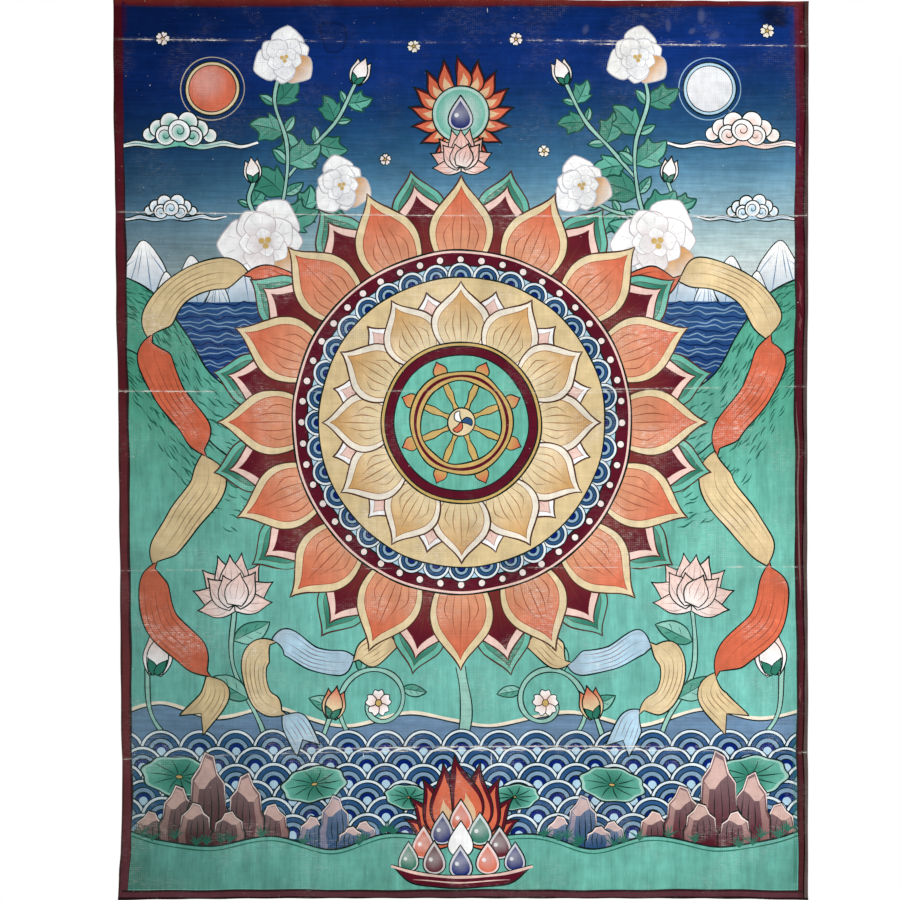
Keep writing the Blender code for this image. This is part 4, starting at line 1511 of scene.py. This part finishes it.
def painted_cotton(sizes):
    """Mineral colours bound in glue, brushed on chalk-primed cotton: quite dull, streaked by the brush,
    rubbed off the crowns of the threads in places, and flaked to the white priming along the creases."""
    material, tree, shader = new_material("glue_paint_brushed_on_primed_cotton", 0.9, 0.02)
    place = add_node(tree, "UVMap", uv_map="Cloth")
    paint = add_node(tree, "Attribute", attribute_name="paint")
    brush = add_node(tree, "Attribute", attribute_name="brush")
    down, across, bare = add_node(tree, "SeparateColor", {0: brush}, output=slice(None))

    # Pigment settles unevenly in clouds, and in lines along the brush.
    clouds = add_node(tree, "MapRange", {0: grain(tree, place, 0.030, 0.034, 5.0), 1: 0.3, 2: 0.7,
                                         3: 0.90, 4: 1.10})
    blots = add_node(tree, "MapRange", {0: grain(tree, place, 0.006, 0.008, 6.0), 1: 0.3, 2: 0.7,
                                        3: 0.91, 4: 1.09})
    tone = add_node(tree, "Math", {0: clouds, 1: blots}, operation="MULTIPLY")
    brushed = ((down, 0.0022, 0.026, 0.11), (down, 0.0090, 0.050, 0.15), (across, 0.030, 0.0017, 0.15),
               (across, 0.090, 0.0060, 0.12))
    for amount, wide, tall, depth in brushed:
        streak = add_node(tree, "MapRange", {0: grain(tree, place, wide, tall, 4.0), 1: 0.28, 2: 0.72,
                                             3: -depth, 4: depth})
        streak = add_node(tree, "Math", {0: streak, 1: amount, 2: 1.0}, operation="MULTIPLY_ADD")
        tone = add_node(tree, "Math", {0: tone, 1: streak}, operation="MULTIPLY")
    crowns = thread_crowns(tree, place, sizes.thread_pitch)
    # Painted light and shade of the weave: a little lighter on the crowns of the threads, darker in the pits.
    weave_shade = add_node(tree, "MapRange", {0: crowns, 3: 0.955, 4: 1.02})
    tone = add_node(tree, "Math", {0: tone, 1: weave_shade}, operation="MULTIPLY")
    colour = add_node(tree, "VectorMath", {0: paint, 3: tone}, operation="SCALE")

    # Grime dulls the colours in broad patches, more towards the cut edges.
    from_edge = add_node(tree, "Attribute", output=2, attribute_name="from_edge")
    handled = add_node(tree, "MapRange", {0: from_edge, 1: 0.0, 2: 30.0, 3: 0.30, 4: 0.0})
    film = add_node(tree, "MapRange", {0: grain(tree, place, 0.085, 0.12, 4.0), 1: 0.46, 2: 0.72,
                                       3: 0.0, 4: 0.45})
    film = add_node(tree, "Math", {0: film, 1: handled}, operation="ADD")
    dulled = add_node(tree, "VectorMath", {0: colour, 1: (0.66, 0.64, 0.58)}, operation="MULTIPLY")
    colour = add_node(tree, "Mix", {0: film, 6: colour, 7: dulled}, output=2, data_type="RGBA")

    # Rubbed places: the priming shows on the crowns of the threads, in short dashes along the weft.
    patches = add_node(tree, "MapRange", {0: grain(tree, place, 0.046, 0.040, 6.0), 1: 0.50, 2: 0.62})
    patches = add_node(tree, "Math", {0: patches, 1: bare}, operation="MULTIPLY")
    worn = add_node(tree, "MapRange", {0: crowns, 1: 0.55, 2: 0.98, 3: 0.0, 4: 0.36})
    frayed = add_node(tree, "MapRange", {0: grain(tree, place, 0.0046, 0.0030, 3.0), 1: 0.42, 2: 0.62,
                                         3: 0.15, 4: 1.0})
    worn = add_node(tree, "Math", {0: worn, 1: frayed}, operation="MULTIPLY")
    rubbed = add_node(tree, "Math", {0: patches, 1: worn}, operation="MULTIPLY")
    dashes = add_node(tree, "MapRange", {0: grain(tree, place, 0.0052, 0.0010, 1.0), 1: 0.61, 2: 0.69,
                                         3: 0.0, 4: 0.55})
    dashes = add_node(tree, "Math", {0: dashes, 1: patches}, operation="MULTIPLY")
    flakes = add_node(tree, "MapRange", {0: grain(tree, place, 0.0021, 0.0019, 1.0), 1: 0.775, 2: 0.80,
                                         3: 0.0, 4: 0.5})
    chalk = add_node(tree, "Math", {0: rubbed, 1: dashes}, operation="MAXIMUM")
    chalk = add_node(tree, "Math", {0: chalk, 1: flakes}, operation="MAXIMUM")

    # Creases: a broken white line where the paint has flaked, in a faint pale band strewn with crumbs.
    from_crease = add_node(tree, "Attribute", output=2, attribute_name="from_crease")
    flaked = add_node(tree, "Attribute", output=2, attribute_name="flaked")
    from_twin = add_node(tree, "Attribute", output=2, attribute_name="from_twin")
    twinned = add_node(tree, "Attribute", output=2, attribute_name="twinned")
    stray = add_node(tree, "MapRange", {0: grain(tree, place, 0.0045, 0.0060, 2.0), 3: -0.55, 4: 0.55})
    for gap, amount, seed in ((from_crease, flaked, 0.011), (from_twin, twinned, 0.009)):
        off = add_node(tree, "Math", {0: gap, 1: stray}, operation="ADD")
        widened = add_node(tree, "Math", {0: amount, 1: -0.30, 2: off}, operation="MULTIPLY_ADD")
        line = add_node(tree, "MapRange", {0: widened, 1: 0.0, 2: 0.30, 3: 0.92, 4: 0.0})
        gaps = add_node(tree, "Math", {0: amount, 1: 0.46, 2: grain(tree, place, seed, 0.05, 5.0)},
                        operation="MULTIPLY_ADD")
        gaps = add_node(tree, "MapRange", {0: gaps, 1: 0.62, 2: 0.98})
        line = add_node(tree, "Math", {0: line, 1: gaps}, operation="MULTIPLY")
        band = add_node(tree, "MapRange", {0: off, 1: 0.0, 2: 2.2, 3: 0.045, 4: 0.0})
        band = add_node(tree, "Math", {0: band, 1: amount}, operation="MULTIPLY")
        crumbs = add_node(tree, "MapRange", {0: grain(tree, place, 0.0024, 0.0010, 1.0), 1: 0.60, 2: 0.66})
        beside = add_node(tree, "MapRange", {0: off, 1: 0.6, 2: 2.1, 3: 0.8, 4: 0.0})
        crumbs = add_node(tree, "Math", {0: crumbs, 1: beside}, operation="MULTIPLY")
        crumbs = add_node(tree, "Math", {0: crumbs, 1: gaps}, operation="MULTIPLY")
        chalk = add_node(tree, "Math", {0: chalk, 1: crumbs}, operation="MAXIMUM")
        chalk = add_node(tree, "Math", {0: chalk, 1: line}, operation="MAXIMUM")
        chalk = add_node(tree, "Math", {0: chalk, 1: band}, operation="MAXIMUM")
    colour = add_node(tree, "Mix", {0: chalk, 6: colour, 7: (*linear("#e6e2dc"), 1)}, output=2,
                      data_type="RGBA")
    tree.links.new(colour, shader.inputs["Base Color"])

    rough = add_node(tree, "MapRange", {0: chalk, 3: 0.82, 4: 0.95})
    tree.links.new(rough, shader.inputs["Roughness"])
    height = add_node(tree, "Math", {0: crowns, 1: 0.00005}, operation="MULTIPLY")
    height = add_node(tree, "Math", {0: chalk, 1: -0.00004, 2: height}, operation="MULTIPLY_ADD")
    bump = add_node(tree, "Bump", {"Height": height, "Distance": 1.0, "Strength": 0.8})
    tree.links.new(bump, shader.inputs["Normal"])
    return material


def bare_cotton(sizes):
    """Cotton with a thin chalk priming that has yellowed: matt, with the weave plain to see, and soiled
    where the folds of the roll touched hands and dust."""
    material, tree, shader = new_material("woven_cotton_chalk_primed", 0.92, 0.12)
    place = add_node(tree, "UVMap", uv_map="Cloth")
    clouds = add_node(tree, "MapRange", {0: grain(tree, place, 0.060, 0.080, 5.0), 1: 0.3, 2: 0.7})
    colour = add_node(tree, "Mix", {0: clouds, 6: (*linear("#b9a680"), 1), 7: (*linear("#d9caa8"), 1)},
                      output=2, data_type="RGBA")
    crowns = thread_crowns(tree, place, sizes.thread_pitch)
    # Painted shade of the weave: the pits between the threads darker than their crowns.
    weave_shade = add_node(tree, "MapRange", {0: crowns, 3: 0.80, 4: 1.04})
    slubs = add_node(tree, "MapRange", {0: grain(tree, place, 0.030, 0.0011, 2.0), 1: 0.3, 2: 0.7,
                                        3: 0.93, 4: 1.06})
    tone = add_node(tree, "Math", {0: weave_shade, 1: slubs}, operation="MULTIPLY")
    colour = add_node(tree, "VectorMath", {0: colour, 3: tone}, operation="SCALE")
    from_crease = add_node(tree, "Attribute", output=2, attribute_name="from_crease")
    fold = add_node(tree, "MapRange", {0: from_crease, 1: 0.3, 2: 5.0, 3: 0.55, 4: 0.0})
    uneven = add_node(tree, "MapRange", {0: grain(tree, place, 0.020, 0.020, 4.0), 1: 0.3, 2: 0.65,
                                         3: 0.25, 4: 1.0})
    fold = add_node(tree, "Math", {0: fold, 1: uneven}, operation="MULTIPLY")
    from_edge = add_node(tree, "Attribute", output=2, attribute_name="from_edge")
    rim = add_node(tree, "MapRange", {0: from_edge, 1: 0.0, 2: 14.0, 3: 0.45, 4: 0.0})
    rim = add_node(tree, "Math", {0: rim, 1: uneven}, operation="MULTIPLY")
    soil = add_node(tree, "Math", {0: fold, 1: rim}, operation="MAXIMUM")
    colour = add_node(tree, "Mix", {0: soil, 6: colour, 7: (*linear("#6f5d45"), 1)}, output=2,
                      data_type="RGBA")
    tree.links.new(colour, shader.inputs["Base Color"])
    bump = add_node(tree, "Bump", {"Height": crowns, "Distance": 0.00009, "Strength": 1.0})
    tree.links.new(bump, shader.inputs["Normal"])
    return material


def cut_cotton(sizes):
    """The cut edge of the cotton: broken thread ends, darkened by paint and handling."""
    material, tree, shader = new_material("cut_cotton_edge", 0.95, 0.1)
    place = add_node(tree, "TexCoord", output=3)
    ends = add_node(tree, "TexNoise", {"Vector": place, "Scale": 1 / sizes.thread_pitch, "Detail": 2.0})
    ends = add_node(tree, "MapRange", {0: ends, 1: 0.35, 2: 0.65})
    colour = add_node(tree, "Mix", {0: ends, 6: (*linear("#4a2b28"), 1), 7: (*linear("#9d8468"), 1)},
                      output=2, data_type="RGBA")
    tree.links.new(colour, shader.inputs["Base Color"])
    return material


# ------------------------------------------------------------------------------------- settings and tools


def pigment(name, code, description):
    return FloatVectorProperty(name=name, description=description, subtype="COLOR", size=3, min=0, max=1,
                               default=linear(code))


class ScrollSizes(bpy.types.PropertyGroup):
    """Sizes of the cloth and its weave."""

    thickness: FloatProperty(name="Thickness", description="Cloth with its priming and paint",
                             default=0.0011, min=0.0004, max=0.003, subtype="DISTANCE", unit="LENGTH")
    thread_pitch: FloatProperty(name="Thread pitch", description="Distance from one thread to the next",
                                default=0.0016, min=0.0003, max=0.004, subtype="DISTANCE", unit="LENGTH")


class ScrollPigments(bpy.types.PropertyGroup):
    """Colours that the painter mixed."""

    ink: pigment("Ink", "#11211e", "Outlines")
    brown: pigment("Brown ink", "#6e3b2d", "Fine lines on silk and petals")
    jade: pigment("Jade", "#67b2a2", "Grass, hills and leaves in the light")
    leaf: pigment("Leaf green", "#2b7361", "Leaves in the shade")
    deep_blue: pigment("Deep blue", "#07206c", "Deep water and dark stones")
    steel: pigment("Steel blue", "#2b517f", "Waves and rocks")
    pale_blue: pigment("Pale blue", "#a9cbe0", "Crests, linings and clouds")
    maroon: pigment("Maroon", "#571526", "Border, back petals and rocks")
    orange: pigment("Orange", "#cd684c", "Great petals and silk")
    cream: pigment("Cream", "#d9c8a2", "Petals and linings")
    ochre: pigment("Ochre", "#c2a566", "Gilded metal")
    pink: pigment("Pink", "#e4c5bd", "Petal rims and clouds")
    white: pigment("Chalk white", "#eef1f4", "Rims, snow and pearls")


class SCROLL_OT_cloth(bpy.types.Operator):
    """Add the painted cloth in place of its plain solid"""

    bl_idname = "scroll.cloth"
    bl_label = "Painted cloth"

    def execute(self, context):
        sizes = context.scene.scroll_sizes
        chosen = context.scene.scroll_pigments
        names = ScrollPigments.__annotations__
        pigments = SimpleNamespace(**{name: np.array(getattr(chosen, name)) for name in names})
        cloth = add_painted_cloth(sizes, pigments)
        for material in (painted_cotton(sizes), bare_cotton(sizes), cut_cotton(sizes)):
            cloth.data.materials.append(material)
        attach(cloth, "root")
        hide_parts("painted_cloth")
        return {"FINISHED"}


# The photograph's view: square on, at the height of the cloth's middle, from far enough to look flat.
CAMERA_PLACE = (-0.0086, -2.6, -0.3514)
SENSOR_WIDTH, FOCAL_LENGTH = 36, 133.3  # millimetres
FLOOR_BELOW = 0.25  # the floor lies this far under the cloth, to the nearest centimetre
FLOOR_WIDE, FLOOR_DEEP = 4, 2.6
FLOOR_MIDDLE = -0.6  # y, in front of the wall
LAMP_PLACE, LAMP_AIM = (1.35, -1.15, -0.05), (0.08, 0, -0.35)
LAMP_SIZE, LAMP_WATTS = 0.9, 33


class SCROLL_OT_stage(bpy.types.Operator):
    """Add the floor, the lights and the camera"""

    bl_idname = "scroll.stage"
    bl_label = "Stage"

    def execute(self, context):
        scene = context.scene
        scene.view_settings.view_transform = "Standard"
        bpy.ops.object.select_all(action="DESELECT")
        floor_height = round(CLOTH_FOOT - FLOOR_BELOW, 2)
        bpy.ops.mesh.primitive_plane_add(size=1, location=(0, FLOOR_MIDDLE, floor_height))
        floor = context.object
        floor.name = "floor"
        floor.scale = (FLOOR_WIDE, FLOOR_DEEP, 1)
        bpy.ops.object.transform_apply(location=True, rotation=True, scale=True)
        material = bpy.data.materials.new("matt_paper_rolled")
        material.use_nodes = True
        shader = material.node_tree.nodes["Principled BSDF"]
        shader.inputs["Roughness"].default_value = 0.9
        tree = material.node_tree
        place = add_node(tree, "TexCoord", output=3)
        fibres = grain(tree, place, 0.25, 0.25, 6.0)
        colour = add_node(tree, "Mix", {0: fibres, 6: (*linear("#e4e3e1"), 1), 7: (*linear("#eeedeb"), 1)},
                          output=2, data_type="RGBA")
        tree.links.new(colour, shader.inputs["Base Color"])
        tooth = grain(tree, place, 0.0008, 0.0008, 2.0)
        bump = add_node(tree, "Bump", {"Height": tooth, "Distance": 0.0001, "Strength": 0.5})
        tree.links.new(bump, shader.inputs["Normal"])
        floor.data.materials.append(material)

        # A white backdrop all round behind the cloth, and a dimmer room in front of it.
        world = bpy.data.worlds.new("white_studio")
        world.use_nodes = True
        tree = world.node_tree
        sight = add_node(tree, "SeparateXYZ", {0: add_node(tree, "TexCoord")}, output=1)
        behind = add_node(tree, "MapRange", {0: sight, 1: -0.30, 2: 0.30, 3: 0.32, 4: 1.0})
        backdrop = tree.nodes["Background"]
        tree.links.new(behind, backdrop.inputs["Strength"])
        backdrop.inputs["Color"].default_value = (1, 1, 1, 1)
        scene.world = world

        key = bpy.data.lights.new("key", "AREA")
        key.energy = LAMP_WATTS
        key.size = LAMP_SIZE
        key.color = (1.0, 0.97, 0.94)
        lamp = bpy.data.objects.new("key", key)
        lamp.location = LAMP_PLACE
        lamp.rotation_euler = (Vector(LAMP_AIM) - lamp.location).to_track_quat("-Z", "Y").to_euler()
        scene.collection.objects.link(lamp)

        lens = bpy.data.cameras.new("camera")
        lens.sensor_width = SENSOR_WIDTH
        lens.lens = FOCAL_LENGTH
        camera = bpy.data.objects.new("camera", lens)
        camera.location = CAMERA_PLACE
        camera.rotation_euler = (pi / 2, 0, 0)
        scene.collection.objects.link(camera)
        scene.camera = camera
        return {"FINISHED"}


class SCROLL_PT_panel(bpy.types.Panel):
    """Scroll picture settings and the tools that build it"""

    bl_label = "Scroll Picture"
    bl_idname = "SCROLL_PT_panel"
    bl_space_type = "VIEW_3D"
    bl_region_type = "UI"
    bl_category = "Scroll Picture"

    def draw(self, context):
        for settings in (context.scene.scroll_sizes, context.scene.scroll_pigments):
            column = self.layout.column()
            for name in settings.__annotations__:
                column.prop(settings, name)
        for tool in (SCROLL_OT_cloth, SCROLL_OT_stage):
            self.layout.operator(tool.bl_idname)


CLASSES = (ScrollSizes, ScrollPigments, SCROLL_OT_cloth, SCROLL_OT_stage, SCROLL_PT_panel)


def register():
    for item in CLASSES:
        bpy.utils.register_class(item)
    bpy.types.Scene.scroll_sizes = PointerProperty(type=ScrollSizes)
    bpy.types.Scene.scroll_pigments = PointerProperty(type=ScrollPigments)


def unregister():
    del bpy.types.Scene.scroll_pigments
    del bpy.types.Scene.scroll_sizes
    for item in reversed(CLASSES):
        bpy.utils.unregister_class(item)


def main():
    register()
    bpy.ops.scroll.cloth()
    bpy.ops.scroll.stage()


if __name__ == "__main__":
    main()
